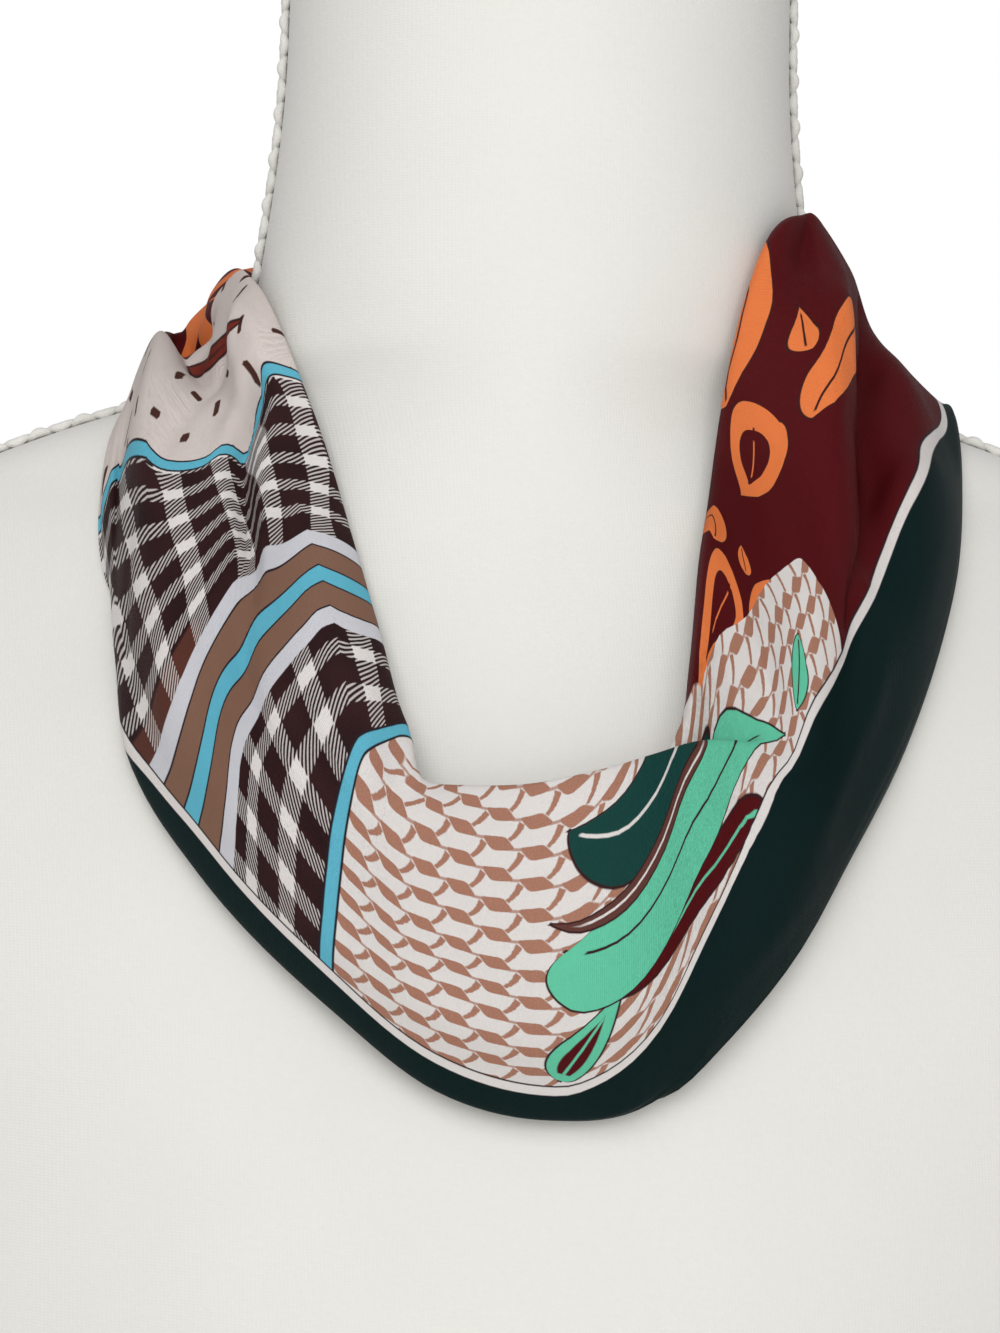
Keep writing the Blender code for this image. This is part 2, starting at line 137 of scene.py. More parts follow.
def evenly_spaced(line: np.ndarray, count: int) -> np.ndarray:
    """Space points evenly along a line.

    Args:
        line: The line's own points.
        count: How many points.

    Returns:
        The evenly spaced points.
    """
    length = distances(line)
    even = np.linspace(0.0, length[-1], count)
    return np.column_stack([np.interp(even, length, column) for column in line.T])


def grid_faces(columns: int, rows: int, closed: bool = False, first: int = 0) -> list[tuple[int, ...]]:
    """List the quads of a grid whose points run down each column in turn.

    Args:
        columns: Number of columns.
        rows: Points in a column.
        closed: Whether the last column joins the first.
        first: Index of the grid's first point.

    Returns:
        The quads' point indices.
    """
    faces = []
    for i in range(columns if closed else columns - 1):
        a, b = first + i * rows, first + (i + 1) % columns * rows
        faces += [(a + j, a + j + 1, b + j + 1, b + j) for j in range(rows - 1)]
    return faces


def end_faces(columns: int, rows: int, first: int = 0) -> list[tuple[int, ...]]:
    """List the two faces that close the ends of a closed grid.

    Args:
        columns: Number of columns.
        rows: Points in a column.
        first: Index of the grid's first point.

    Returns:
        The faces' point indices.
    """
    return [tuple(first + k * rows for k in range(columns)),
            tuple(first + k * rows + rows - 1 for k in reversed(range(columns)))]


def make_piece(name: str, points: np.ndarray, faces: list[tuple[int, ...]],
               material: bpy.types.Material) -> bpy.types.Object:
    """Make one smooth-shaded mesh object.

    Args:
        name: The piece's name.
        points: Its points in the tables' centimetres.
        faces: Its faces.
        material: Its finish.

    Returns:
        The object, linked to the scene.
    """
    mesh = bpy.data.meshes.new(name)
    mesh.from_pydata(placed(np.asarray(points, float)).tolist(), [], faces)
    mesh.materials.append(material)
    mesh.shade_smooth()
    piece = bpy.data.objects.new(name, mesh)
    bpy.context.scene.collection.objects.link(piece)
    return piece


@dataclass(frozen=True)
class BustShape:
    """The covered bust as a stack of rings, each an oval with a swelling in front and behind.

    Attributes:
        rings: Height, half width, front, back and shoulder depth of each ring.
        swell_power: How closely the swelling under the neck keeps to the middle.
        floor: Underside, in the tables' heights.
        top: Flat top of the neck.
        edge_round: Rounding of the top and bottom edges.
        halvings: Rounds of halving by which a reach is found.
        seam_samples: Points at which the side seam is read.
    """

    rings: Rows = (
        (10.5, 5.38, 5.40, 5.30, 5.30),
        (8.0, 5.40, 5.45, 5.35, 5.35),
        (5.0, 5.48, 5.52, 5.50, 5.50),
        (2.5, 5.75, 5.62, 5.80, 5.60),
        (1.0, 5.98, 5.72, 6.15, 5.70),
        (0.2, 6.18, 5.80, 6.45, 5.60),
        (-0.5, 6.60, 5.87, 6.80, 5.30),
        (-1.0, 7.35, 5.93, 7.05, 4.55),
        (-1.4, 8.20, 5.98, 7.25, 3.90),
        (-2.0, 10.00, 6.06, 7.50, 3.30),
        (-3.0, 12.50, 6.24, 7.90, 3.30),
        (-4.2, 15.00, 6.52, 8.30, 3.70),
        (-6.0, 16.90, 7.08, 8.80, 4.60),
        (-8.5, 17.90, 8.00, 9.30, 6.20),
        (-12.0, 17.90, 9.05, 9.80, 8.20),
        (-16.0, 17.20, 10.05, 10.10, 9.30),
        (-20.0, 16.60, 10.90, 10.00, 10.00),
        (-26.0, 16.10, 11.40, 9.60, 10.40),
    )
    swell_power: float = 8.0
    floor: float = -NECK_LEVEL
    top: float = 10.5
    edge_round: float = 0.8
    halvings: int = 26
    seam_samples: int = 1600

    def sizes(self, height: np.ndarray | float) -> list[np.ndarray]:
        """Return half width, front, back and shoulder depth at each height."""
        table = np.array(self.rings)[::-1]
        return [smooth_through(table[:, 0], column, np.asarray(height, float)) for column in table.T[1:]]

    def depth(self, middle: np.ndarray, shoulder: np.ndarray, lean: np.ndarray) -> np.ndarray:
        """Return how deep a ring is where its oval has turned by lean from the middle."""
        oval = np.minimum(shoulder, middle)
        return oval * np.cos(lean) + (middle - oval) * np.cos(lean) ** self.swell_power

    def reach(self, turn: np.ndarray, height: np.ndarray) -> np.ndarray:
        """Find how far the surface is from the neck's axis, by halving intervals.

        Args:
            turn: Turns, degrees.
            height: The height at each turn.

        Returns:
            The reach at each of them.
        """
        half_width, front, back, shoulder = self.sizes(height)
        angle = np.abs(np.radians((np.asarray(turn, float) + 180.0) % 360.0 - 180.0))
        middle = np.where(angle <= math.pi / 2, front, back)
        aim = np.minimum(angle, math.pi - angle)
        low, high = np.zeros_like(aim), np.full_like(aim, math.pi / 2)
        for _ in range(self.halvings):
            lean = (low + high) / 2
            found = np.arctan2(half_width * np.sin(lean), self.depth(middle, shoulder, lean))
            low, high = np.where(found < aim, lean, low), np.where(found < aim, high, lean)
        return np.hypot(half_width * np.sin(low), self.depth(middle, shoulder, low))

    def side_line(self, count: int) -> np.ndarray:
        """Space points evenly down the right side seam, from the neck to the bottom edge.

        Args:
            count: How many points.

        Returns:
            The points.
        """
        start, end = self.top - self.edge_round, self.floor + self.edge_round
        heights = np.linspace(start, end, self.seam_samples)
        seam = np.column_stack([self.sizes(heights)[0], np.zeros(len(heights)), heights])
        return evenly_spaced(seam, count)


@dataclass(frozen=True)
class FoldLine:
    """A line that runs the whole way round the strip.

    Attributes:
        share: How far along the print's slant the line lies, from fold to hem.
        spans: Coarse steps from this line to the next one.
        rows: Turn, reach and height of points on the line.
    """

    share: float
    spans: int
    rows: Rows


FOLD_LINES: dict[str, FoldLine] = {
    "facing_edge": FoldLine(0.0, 1, (
        (-180, 6.75, 0.7), (-130, 6.65, 0.5), (-90, 6.75, -0.1), (-70, 6.85, -0.8),
        (-47, 7.3, -3.2), (-35, 8.0, -5.6), (-24, 8.75, -8.7), (-14, 9.05, -10.4), (0, 9.15, -11.0),
        (12, 9.15, -10.7), (20, 8.95, -9.6), (27, 8.2, -7.3), (35, 7.3, -4.6), (45, 6.75, -1.8),
        (60, 6.5, -0.3), (90, 6.75, -0.1), (130, 6.65, 0.5))),
    "inner_fold": FoldLine(0.0, 2, (
        (-180, 6.3, 2.75), (-130, 6.25, 2.2), (-90, 6.4, 0.7), (-70, 6.35, 0.1), (-47, 6.8, -2.3),
        (-35, 7.45, -4.6), (-24, 8.2, -7.3), (-16, 8.75, -9.0), (-8, 9.1, -9.55), (4, 9.2, -9.45),
        (12, 9.2, -8.87), (19, 9.15, -7.8), (21, 8.7, -6.9), (26, 7.65, -4.7), (30, 7.1, -3.55),
        (35, 6.6, -1.9), (40, 6.35, -0.25), (47, 6.2, 1.35), (65, 6.12, 2.55), (78, 6.12, 2.3),
        (92, 6.14, 2.3), (130, 6.15, 2.8))),
    "tuck": FoldLine(0.0, 3, (
        (-180, 6.45, 3.05), (-130, 6.38, 2.52), (-90, 6.28, 1.1), (-70, 6.2, 0.65),
        (-47, 6.5, -1.75), (-35, 7.0, -3.75), (-24, 7.85, -6.5), (-16, 8.85, -8.45),
        (-12, 9.35, -9.3), (-8, 9.55, -9.9), (4, 9.65, -10.0), (14, 9.7, -9.45), (21, 9.75, -8.6),
        (27, 9.75, -7.5), (30, 8.9, -5.6), (34, 8.3, -4.0), (38, 7.85, -2.0), (42, 7.45, -0.4),
        (49, 6.95, 0.9), (55, 6.62, 1.5), (60, 6.43, 2.08), (66, 6.27, 2.68), (78, 6.28, 2.45),
        (92, 6.32, 2.45), (130, 6.35, 3.0))),
    "top_fold": FoldLine(0.02, 4, (
        (-180, 6.7, 2.9), (-130, 6.6, 2.38), (-90, 6.52, 1.5), (-73, 6.38, 1.25), (-61, 6.32, 0.54),
        (-47, 6.42, -1.2), (-35, 6.9, -3.0), (-29, 7.25, -4.3), (-24, 7.62, -5.5),
        (-20, 8.1, -6.45), (-16, 8.72, -7.6), (-13, 9.3, -8.35), (-11.5, 9.75, -8.95),
        (-8, 9.9, -9.1), (0, 9.95, -9.05), (8, 9.97, -8.75), (18, 10.02, -8.25), (27, 10.15, -8.15),
        (32, 9.85, -6.8), (34.5, 9.55, -5.6), (38, 9.2, -4.1), (41, 8.85, -2.5), (45, 8.35, -0.9),
        (49, 7.8, 0.35), (56, 7.0, 1.5), (66, 6.48, 2.45), (78, 6.48, 2.15), (92, 6.52, 2.2),
        (130, 6.6, 2.8))),
    "crest": FoldLine(0.12, 3, (
        (-180, 7.15, 2.1), (-130, 7.0, 1.8), (-100, 6.9, 1.3), (-85, 6.9, 1.0), (-73, 6.8, 0.7),
        (-57, 6.9, -0.15), (-49, 7.05, -1.5), (-41, 7.35, -2.8), (-34.5, 7.8, -4.0),
        (-28.5, 8.3, -5.2), (-24, 8.8, -6.4), (-20.5, 9.4, -7.5), (-16.5, 10.05, -8.7),
        (-8, 10.3, -9.7), (0, 10.35, -9.8), (15, 10.5, -9.35), (28, 10.45, -8.8),
        (32.6, 10.15, -7.5), (38.5, 9.7, -5.6), (41.7, 9.3, -4.0), (45, 8.85, -2.4),
        (49, 8.4, -1.2), (52, 8.0, 0.2), (57, 7.5, 1.1), (66, 7.0, 1.6), (90, 6.85, 1.7),
        (130, 7.05, 2.3))),
    "groove": FoldLine(0.33, 3, (
        (-180, 6.95, 1.1), (-130, 7.05, 0.9), (-108, 7.6, 0.35), (-101, 7.7, 0.6), (-95, 7.5, -0.3),
        (-86, 7.45, -0.7), (-78, 7.5, -0.55), (-66, 7.45, -1.2), (-52, 7.65, -1.9),
        (-46, 7.8, -2.7), (-42, 8.05, -3.8), (-39, 8.5, -5.0), (-36, 9.1, -6.3), (-31, 9.8, -7.8),
        (-22, 10.3, -9.4), (-12, 10.6, -10.6), (0, 10.75, -11.0), (10, 10.85, -10.8),
        (20, 10.9, -10.2), (28, 10.7, -9.4), (34, 10.3, -7.9), (40.3, 9.9, -6.0), (45.7, 9.3, -4.8),
        (49, 8.7, -3.6), (54.5, 8.2, -2.4), (60, 7.8, -1.2), (66, 7.4, 0.0), (75, 7.3, 0.45),
        (90, 7.35, 0.5), (130, 7.0, 1.2))),
    "ridge": FoldLine(0.6, 2, (
        (-180, 7.95, 0.1), (-130, 8.0, 0.1), (-100, 7.95, 0.3), (-85, 8.0, 0.05), (-73, 8.1, -0.2),
        (-63, 8.7, -1.5), (-57, 9.1, -2.9), (-51.5, 9.5, -4.2), (-46, 9.95, -5.6),
        (-40, 10.3, -7.1), (-34, 10.5, -8.6), (-26, 10.7, -10.2), (-17, 10.85, -11.4),
        (0, 10.95, -12.1), (15, 11.0, -11.8), (28, 10.95, -10.2), (36, 10.5, -8.3),
        (43, 10.1, -6.4), (50.6, 9.7, -4.8), (55.6, 9.25, -3.1), (64, 8.8, -1.95),
        (69.5, 8.2, -0.6), (85, 7.95, -0.2), (130, 8.15, 0.2))),
    "belly": FoldLine(0.8, 2, (
        (-180, 8.15, -1.5), (-130, 8.6, -1.5), (-100, 8.3, -0.6), (-89, 8.2, -0.5),
        (-78, 8.5, -1.0), (-68, 9.05, -3.2), (-60, 9.5, -4.7), (-50, 10.1, -6.9),
        (-40, 10.45, -8.9), (-30, 10.65, -10.4), (-18, 10.9, -12.1), (-8, 11.05, -13.05),
        (4, 11.1, -13.4), (16, 11.05, -12.8), (30, 10.8, -10.7), (40.5, 10.3, -7.9),
        (53, 9.9, -5.2), (61, 9.5, -3.3), (72.6, 9.05, -2.05), (85, 8.8, -1.0), (130, 8.7, -1.5))),
    "hem_turn": FoldLine(0.93, 2, (
        (-180, 8.3, -2.6), (-150, 8.3, -2.6), (-120, 8.8, -2.0), (-100, 8.4, -1.1),
        (-89, 8.3, -0.9), (-80, 8.6, -1.4), (-74, 9.0, -2.3), (-60, 9.6, -5.2), (-54, 9.9, -6.9),
        (-47, 10.3, -8.9), (-36, 10.3, -10.85), (-19, 10.35, -13.2), (-8, 10.35, -14.55),
        (4, 10.25, -15.03), (12, 10.45, -14.78), (16, 10.6, -14.2), (20, 10.75, -13.3),
        (30, 10.6, -11.45), (36, 10.45, -10.05), (46, 10.15, -8.05), (61, 9.78, -4.85),
        (74, 9.33, -2.6), (89, 9.1, -1.1), (105, 9.1, -1.5), (130, 8.8, -2.4))),
    "hem": FoldLine(1.0, 0, (
        (-180, 8.3, -3.0), (-150, 8.3, -3.0), (-120, 8.85, -2.4), (-100, 8.5, -1.5),
        (-89, 8.4, -1.3), (-80, 8.75, -1.9), (-74, 9.15, -2.85), (-61, 9.55, -5.55),
        (-57, 9.5, -6.1), (-54, 9.55, -6.6), (-47, 9.87, -8.1), (-36, 9.85, -9.95),
        (-19, 9.85, -12.4), (-8, 9.8, -13.95), (4, 9.8, -14.65), (12, 10.1, -14.72),
        (16, 10.42, -14.5), (20, 10.55, -13.8), (30, 10.45, -11.9), (36, 10.3, -10.5),
        (46, 10.05, -8.5), (61, 9.73, -5.3), (74, 9.3, -3.0), (89, 9.1, -1.5), (105, 9.1, -1.9),
        (130, 8.8, -2.8))),
}

# How far the hem runs ahead of the fold, in degrees, for a section that starts at each turn.
# turn, slant
PRINT_SLANT: Rows = (
    (-180, 0), (-130, -4), (-90, -9), (-51, -17), (-34, -17), (-28.7, -16), (-21, -10), (-14, -5.5),
    (0, 0), (12, 3), (20, 6), (27, 13), (45, 20), (64, 16), (90, 6), (130, 2),
)


class Corner(IntEnum):
    """Points that every section of the strip passes, counted from its inner edge."""

    FACING_EDGE = 0
    INNER_FOLD = 2
    TUCK = 4
    TOP_FOLD = 5
    CREST = 6
    GROOVE = 7
    RIDGE = 8
    BELLY = 9
    HEM_TURN = 11
    HEM = 13


@dataclass(frozen=True)
class StripShape:
    """The middle surface of the scarf's cloth, worked out from its fold lines.

    Attributes:
        bust: What the cloth rests on.
        fold_width: How wide the cloth stays where it turns back on itself.
        fold_share: Most of a neighbouring side that half that width may take.
        clearance: Least distance of the middle surface from the bust.
        braid_rise: How much higher the cloth passes over a seam braid.
        braid_turn: Turn of the seam braids.
        braid_pass: Turn over which it rises to do so.
        fineness: Steps of the fine shell in each coarse step of a section.
        settlings: Rounds of lifting the cloth off the bust.
        probe: Height step by which the bust's slope is felt.
        turn_probe: Turn step for the same, degrees.
    """

    bust: BustShape
    fold_width: float = 0.26
    fold_share: float = 0.45
    clearance: float = 0.12
    braid_rise: float = 0.21
    braid_turn: float = 90.0
    braid_pass: float = 4.0
    fineness: int = 6
    settlings: int = 3
    probe: float = 0.05
    turn_probe: float = 1.0

    def rounded_fold(self, before: np.ndarray, fold: np.ndarray, after: np.ndarray) -> list[np.ndarray]:
        """Turn each section round a fold.

        Args:
            before: Points just before the fold.
            fold: Points on the fold.
            after: Points just after it.

        Returns:
            Three points of each section in place of the one on the fold.
        """
        sides = [before - fold, after - fold]
        lengths = [np.linalg.norm(side, axis=1, keepdims=True) for side in sides]
        ways = [side / length for side, length in zip(sides, lengths)]
        half = np.minimum(self.fold_width / 2, self.fold_share * np.minimum(*lengths))
        bend = np.maximum((ways[0] * ways[1]).sum(axis=1, keepdims=True), 0.0)
        aside, back = unit(ways[0] - ways[1]) * half, unit(ways[0] + ways[1]) * half / 2 * bend
        return [fold + aside + back, fold, fold - aside + back]

    def corners(self, turns: np.ndarray) -> np.ndarray:
        """Find the points that each section passes, as Corner counts them.

        Args:
            turns: Turn at which each section starts.

        Returns:
            Sections, points and their three coordinates.
        """
        slant = round_the_neck(PRINT_SLANT, turns)[0]
        points = []
        for line in FOLD_LINES.values():
            here = turns + slant * line.share
            reach, height = round_the_neck(line.rows, here)
            a = np.radians(here)
            points.append(np.stack([reach * np.sin(a), -reach * np.cos(a), height], axis=1))
        points = (points[:1] + self.rounded_fold(*points[:3]) + points[2:-2]
                  + self.rounded_fold(*points[-3:]) + points[-1:])
        return np.stack(points, axis=1)

    def spans(self) -> list[int]:
        """Return the fine steps from each corner of a section to the next."""
        spans = [line.spans for line in FOLD_LINES.values()][:-1]
        spans[1:1] = spans[-1:-1] = [1, 1]
        return [span * self.fineness for span in spans]

    @staticmethod
    def curve_through(points: np.ndarray, spans: Sequence[int]) -> np.ndarray:
        """Read a round curve through the points of each section.

        Args:
            points: Sections, points and their three coordinates.
            spans: Steps between one point and the next.

        Returns:
            Sections, fine points and their three coordinates.
        """
        padded = np.concatenate([2 * points[:, :1] - points[:, 1:2], points,
                                 2 * points[:, -1:] - points[:, -2:-1]], axis=1)
        gaps = np.linalg.norm(np.diff(padded, axis=1), axis=2) ** 0.5
        pieces = []
        for i, steps in enumerate(spans):
            knot = np.cumsum(np.insert(gaps[:, i:i + 3], 0, 0.0, axis=1), axis=1)[:, :, None, None]
            t = knot[:, 1] + (knot[:, 2] - knot[:, 1]) * (np.arange(steps) / steps)[None, :, None]
            level = [padded[:, i + j][:, None, :] for j in range(4)]
            for width in (1, 2):
                level = [((knot[:, j + width] - t) * level[j] + (t - knot[:, j]) * level[j + 1])
                         / (knot[:, j + width] - knot[:, j]) for j in range(4 - width)]
            pieces.append(((knot[:, 2] - t) * level[0] + (t - knot[:, 1]) * level[1])
                          / (knot[:, 2] - knot[:, 1]))
        return np.concatenate(pieces + [points[:, -1:]], axis=1)

    def settle_outside(self, points: np.ndarray) -> np.ndarray:
        """Lift points of the middle surface until they clear the bust and its braids.

        Args:
            points: The middle surface.

        Returns:
            The same points, lifted where they lay too deep.
        """
        for _ in range(self.settlings):
            turn, reach = turn_and_reach(points)
            height = points[..., 2]
            out = self.bust.reach(turn, height)
            by_height = (self.bust.reach(turn, height + self.probe) - out) / self.probe
            by_turn = ((self.bust.reach(turn + self.turn_probe, height) - out)
                       / (reach * math.radians(self.turn_probe)))
            steep = np.sqrt(1.0 + by_height ** 2 + by_turn ** 2)
            past_braid = (np.abs(turn) - self.braid_turn) / self.braid_pass
            wanted = self.clearance + self.braid_rise * np.exp(-past_braid ** 2)
            short = np.maximum(wanted - (reach - out) / steep, 0.0) / steep
            a = np.radians(turn)
            away = np.stack([np.sin(a) - by_turn * np.cos(a), -np.cos(a) - by_turn * np.sin(a),
                             -by_height], axis=-1)
            points = points + short[..., None] * away
        return points

    def surface(self, turns: np.ndarray) -> np.ndarray:
        """Return the middle surface of the sections that start at the turns."""
        return self.settle_outside(self.curve_through(self.corners(turns), self.spans()))


# ---- the print: where its lines lie on the worn strip ----

BORDER = 1.9                  # width of the print's green border, centimetres
OUTLINE = 0.045               # width of its dark outlines
PRINT_COLUMNS = 12            # places across the strip at which a line's turn is given


def straight_across(along: float, turn: float) -> tuple[float, ...]:
    """Return a line of the print that lies at one turn the whole way across."""
    return (along,) + (turn,) * PRINT_COLUMNS


# Each line of the print runs across the strip, from the edge inside to the hem.  Along is its
# place on the flat strip; the other columns are the turns at which it crosses the fold lines.
# name: (along,
#        facing, inner, wall, tuck, top_fold, crest, groove, slope, ridge, belly, hem_turn, hem)
PRINT_LINES: dict[str, tuple[float, ...]] = {
    "back_left": straight_across(-31.0, -180),
    "left_back": (-23.0, -120, -120, -120, -120, -121, -123, -124, -126, -128, -132, -134, -134),
    "left_side": (-16.5, -80, -80, -80, -80, -80, -83, -84, -87, -90, -97, -98, -98),
    "first_blue_line": (-11.41,
        -44, -45, -45.6, -46, -47.0, -52.4, -46.7, -49.3, -57.3, -69, -67.3, -66.7),
    "stripes_start": (-7.83,
        -24, -25, -26, -26.5, -26.9, -32.4, -40.0, -39.5, -38.5, -41.4, -45, -46),
    "stripes_middle": (-6.53,
        -20, -21, -22, -22.5, -23.0, -28.2, -35.6, -34.8, -33.6, -34.9, -37.5, -38.5),
    "stripes_end": (-5.23,
        -16, -17, -18, -18.3, -19.5, -24.7, -31.2, -30.5, -29.4, -29.5, -30.5, -31.5),
    "second_blue_line": (-3.4,
        -11, -11.5, -12.2, -12.5, -13.5, -17.7, -18.7, -18.5, -18.4, -18.5, -19.2, -19.5),
    "front": straight_across(0.0, 0),
    "front_right": (3.0, 12, 13, 15.5, 17, 18, 18, 18, 18, 18, 18, 18, 18),
    "arch_foot": (6.1, 26, 27, 28.4, 29.5, 30.5, 31.8, 31.0, 31.0, 31.0, 31.0, 30.5, 30),
    "burgundy_start": (9.0, 28.5, 29.5, 31.5, 33.6, 35.9, 37.3, 35.4, 35.3, 35.2, 35, 34.5, 34),
    "pleat": (12.0, 31.5, 32.5, 34.6, 37.5, 42, 46, 48, 48.5, 49, 49, 49, 49),
    "right_side": (15.4, 56, 57, 58, 59, 61, 62, 61, 61, 61, 61, 61, 61),
    "right_back": straight_across(24.2, 120),
    "back_right": straight_across(33.4, 180),
}

# How far above the turned hem the border's edge lies, measured up the cloth.
# turn, rise
BORDER_RISE: Rows = (
    (-180, 1.7), (-120, 1.3), (-95, 0.2), (-80, -1.2), (-66, -1.4), (-60, -1.0), (-52, -0.35),
    (-46.7, 0.12), (-42.8, 0.45), (-37.7, 0.68), (-31.8, 0.8), (-21.8, 0.8), (-11, 0.73),
    (4.2, 0.66), (7.9, 0.87), (10.6, 1.11), (13.3, 1.41), (15.8, 1.77), (18.9, 2.0), (20.4, 2.18),
    (22.5, 2.34), (25.9, 2.22), (28.2, 2.52), (29.9, 2.78), (33.1, 2.96), (36.8, 2.88),
    (41.2, 2.48), (47.6, 2.24), (52.2, 2.03), (60.2, 1.72), (68, 1.12), (79.3, 0.42), (95, 0.8),
    (120, 1.6),
)

# Levels of the print, in print centimetres up from the border's edge, and how far above that
# edge each lies on the worn cloth, where hidden folds take some of it up.
LEVELS: tuple[float, ...] = (0.34, 1.44, 2.54, 3.64, 4.74, 5.84, 6.94)
# turn, rise of each level
LEVEL_RISES: Rows = (
    (-180, *LEVELS),
    (-85, *LEVELS),
    (-64, 0.85, 2.34, 3.50, 4.50, 5.20, 5.90, 6.90),
    (-60, 0.71, 2.13, 3.40, 4.40, 5.10, 5.75, 6.80),
    (-53, 0.92, 1.89, 3.24, 4.30, 5.00, 5.60, 6.70),
    (-48, 0.93, 1.88, 3.08, 4.20, 4.82, 5.50, 6.60),
    (-45, 0.87, 1.91, 2.95, 4.15, 4.78, 5.45, 6.60),
    (-41, 0.70, 1.76, 2.63, 4.00, 4.70, 5.57, 6.80),
    (-38, 0.60, 1.60, 2.45, 3.60, 4.68, 5.70, 7.00),
    (-34, 0.50, 1.40, 2.15, 3.10, 4.40, 5.97, 7.10),
    (-28.5, 0.40, 1.22, 1.88, 2.60, 4.05, 6.00, 7.10),
    (-22.5, 0.20, 0.92, 1.62, 2.33, 3.50, 5.65, 7.00),
    (-19.7, 0.15, 0.80, 1.54, 2.22, 3.23, 5.30, 6.90),
    (-13, 0.20, 0.88, 1.50, 2.20, 2.97, 4.00, 5.40),
    (-6, 0.25, 0.94, 1.68, 2.39, 3.24, 4.13, 5.05),
    (4.5, 0.25, 0.87, 1.57, 2.35, 3.25, 4.17, 5.20),
    (15, 0.30, 1.00, 1.75, 2.60, 3.50, 4.40, 5.40),
    (30, 0.30, 1.20, 2.10, 3.10, 4.10, 5.10, 6.10),
    (50, *LEVELS),
    (120, *LEVELS),
)


@dataclass(frozen=True)
class PrintLayout:
    """Where each point of the worn strip lies on its flat print.

    Attributes:
        level_rows: The fine rows at which the columns of the print's lines lie.
        crest: Which of them is the crest.
        rounding: Fine rows over which a line bends at each column.
    """

    level_rows: tuple[int, ...]
    crest: int = 5
    rounding: int = 8

    def along(self, turns: np.ndarray, down: np.ndarray) -> np.ndarray:
        """Find the place along the print.

        Args:
            turns: Turns of the grid, column by row.
            down: Distance down the cloth from its inner edge, column by row.

        Returns:
            The place of each point of the grid.
        """
        lines = np.array(list(PRINT_LINES.values()))
        window = np.hanning(2 * self.rounding + 3)[1:-1]
        window /= window.sum()
        crossing = []
        for line in lines:
            column = np.argmin(np.abs(turns[:, self.level_rows[self.crest]] - line[self.crest + 1]))
            path = down[column]
            straight = np.interp(path, path[list(self.level_rows)], line[1:])
            crossing.append(np.convolve(np.pad(straight, self.rounding, "edge"), window, "valid"))
        return np.stack([smooth_through(knots, lines[:, 0], row)
                         for knots, row in zip(np.array(crossing).T, turns.T)], axis=1)

    @staticmethod
    def across(turns: np.ndarray, rise: np.ndarray) -> tuple[np.ndarray, np.ndarray]:
        """Find the place across the print.

        Args:
            turns: Turns of the grid, column by row.
            rise: Distance up the cloth from the turned hem, column by row.

        Returns:
            The place up from the hem's edge on the print, and the rise above the border's edge.
        """
        above = rise - round_the_neck(BORDER_RISE, turns)[0]
        knots = round_the_neck(LEVEL_RISES, turns)
        place = LEVELS[0] + np.minimum(above - knots[0], 0.0) + np.maximum(above - knots[-1], 0.0)
        for low, high, start, end in zip(knots, knots[1:], LEVELS, LEVELS[1:]):
            place = place + np.clip((above - low) / (high - low), 0.0, 1.0) * (end - start)
        return BORDER + place, above


# ---- finishes: small node graphs ----

CRISP = 0.02                  # width over which a printed edge softens, centimetres


class Value:
    """A number that varies over a surface: a socket of a material's graph, or a plain number."""

    def __init__(self, graph: "Graph", source: bpy.types.NodeSocket | float) -> None:
        """Keep the graph and the source of the number."""
        self.graph = graph
        self.source = source

    def combined(self, operation: str, *others: "Value | float", clamp: bool = False) -> "Value":
        """Return the result of a math node on this value and others."""
        return self.graph.maths(operation, self, *others, clamp=clamp)

    def __add__(self, other: "Value | float") -> "Value":
        """Return the sum."""
        return self.combined("ADD", other)

    def __sub__(self, other: "Value | float") -> "Value":
        """Return the difference."""
        return self.combined("SUBTRACT", other)

    def __rsub__(self, other: float) -> "Value":
        """Return a plain number less this value."""
        return self.graph.maths("SUBTRACT", other, self)

    def __mul__(self, other: "Value | float") -> "Value":
        """Return the product."""
        return self.combined("MULTIPLY", other)

    def __truediv__(self, other: float) -> "Value":
        """Return the quotient by a plain number."""
        return self.combined("MULTIPLY", 1.0 / other)

    def __abs__(self) -> "Value":
        """Return the size without its sign."""
        return self.combined("ABSOLUTE")

    def power(self, exponent: float) -> "Value":
        """Return this value, never below zero, to a power."""
        return self.combined("MAXIMUM", 0.0).combined("POWER", exponent)

    def least(self, other: "Value | float") -> "Value":
        """Return the smaller of two values."""
        return self.combined("MINIMUM", other)

    def most(self, other: "Value | float") -> "Value":
        """Return the larger of two values."""
        return self.combined("MAXIMUM", other)

    def floor(self) -> "Value":
        """Return the whole number below."""
        return self.combined("FLOOR")

    def sine(self) -> "Value":
        """Return the sine."""
        return self.combined("SINE")

    def eased(self) -> "Value":
        """Return this value held between 0 and 1, with a slow start and a slow end."""
        held = self.most(0.0).least(1.0)
        return held * held * (3.0 - held * 2.0)

    def wrapped(self, span: float) -> "Value":
        """Return this value folded into a span that is centred on zero."""
        return self.combined("WRAP", span / 2, -span / 2)

    def inside(self, soft: float = CRISP) -> "Value":
        """Return 1 where this value is positive and 0 where it isn't, with a soft edge."""
        return self.combined("MULTIPLY_ADD", 1.0 / soft, 0.5, clamp=True)


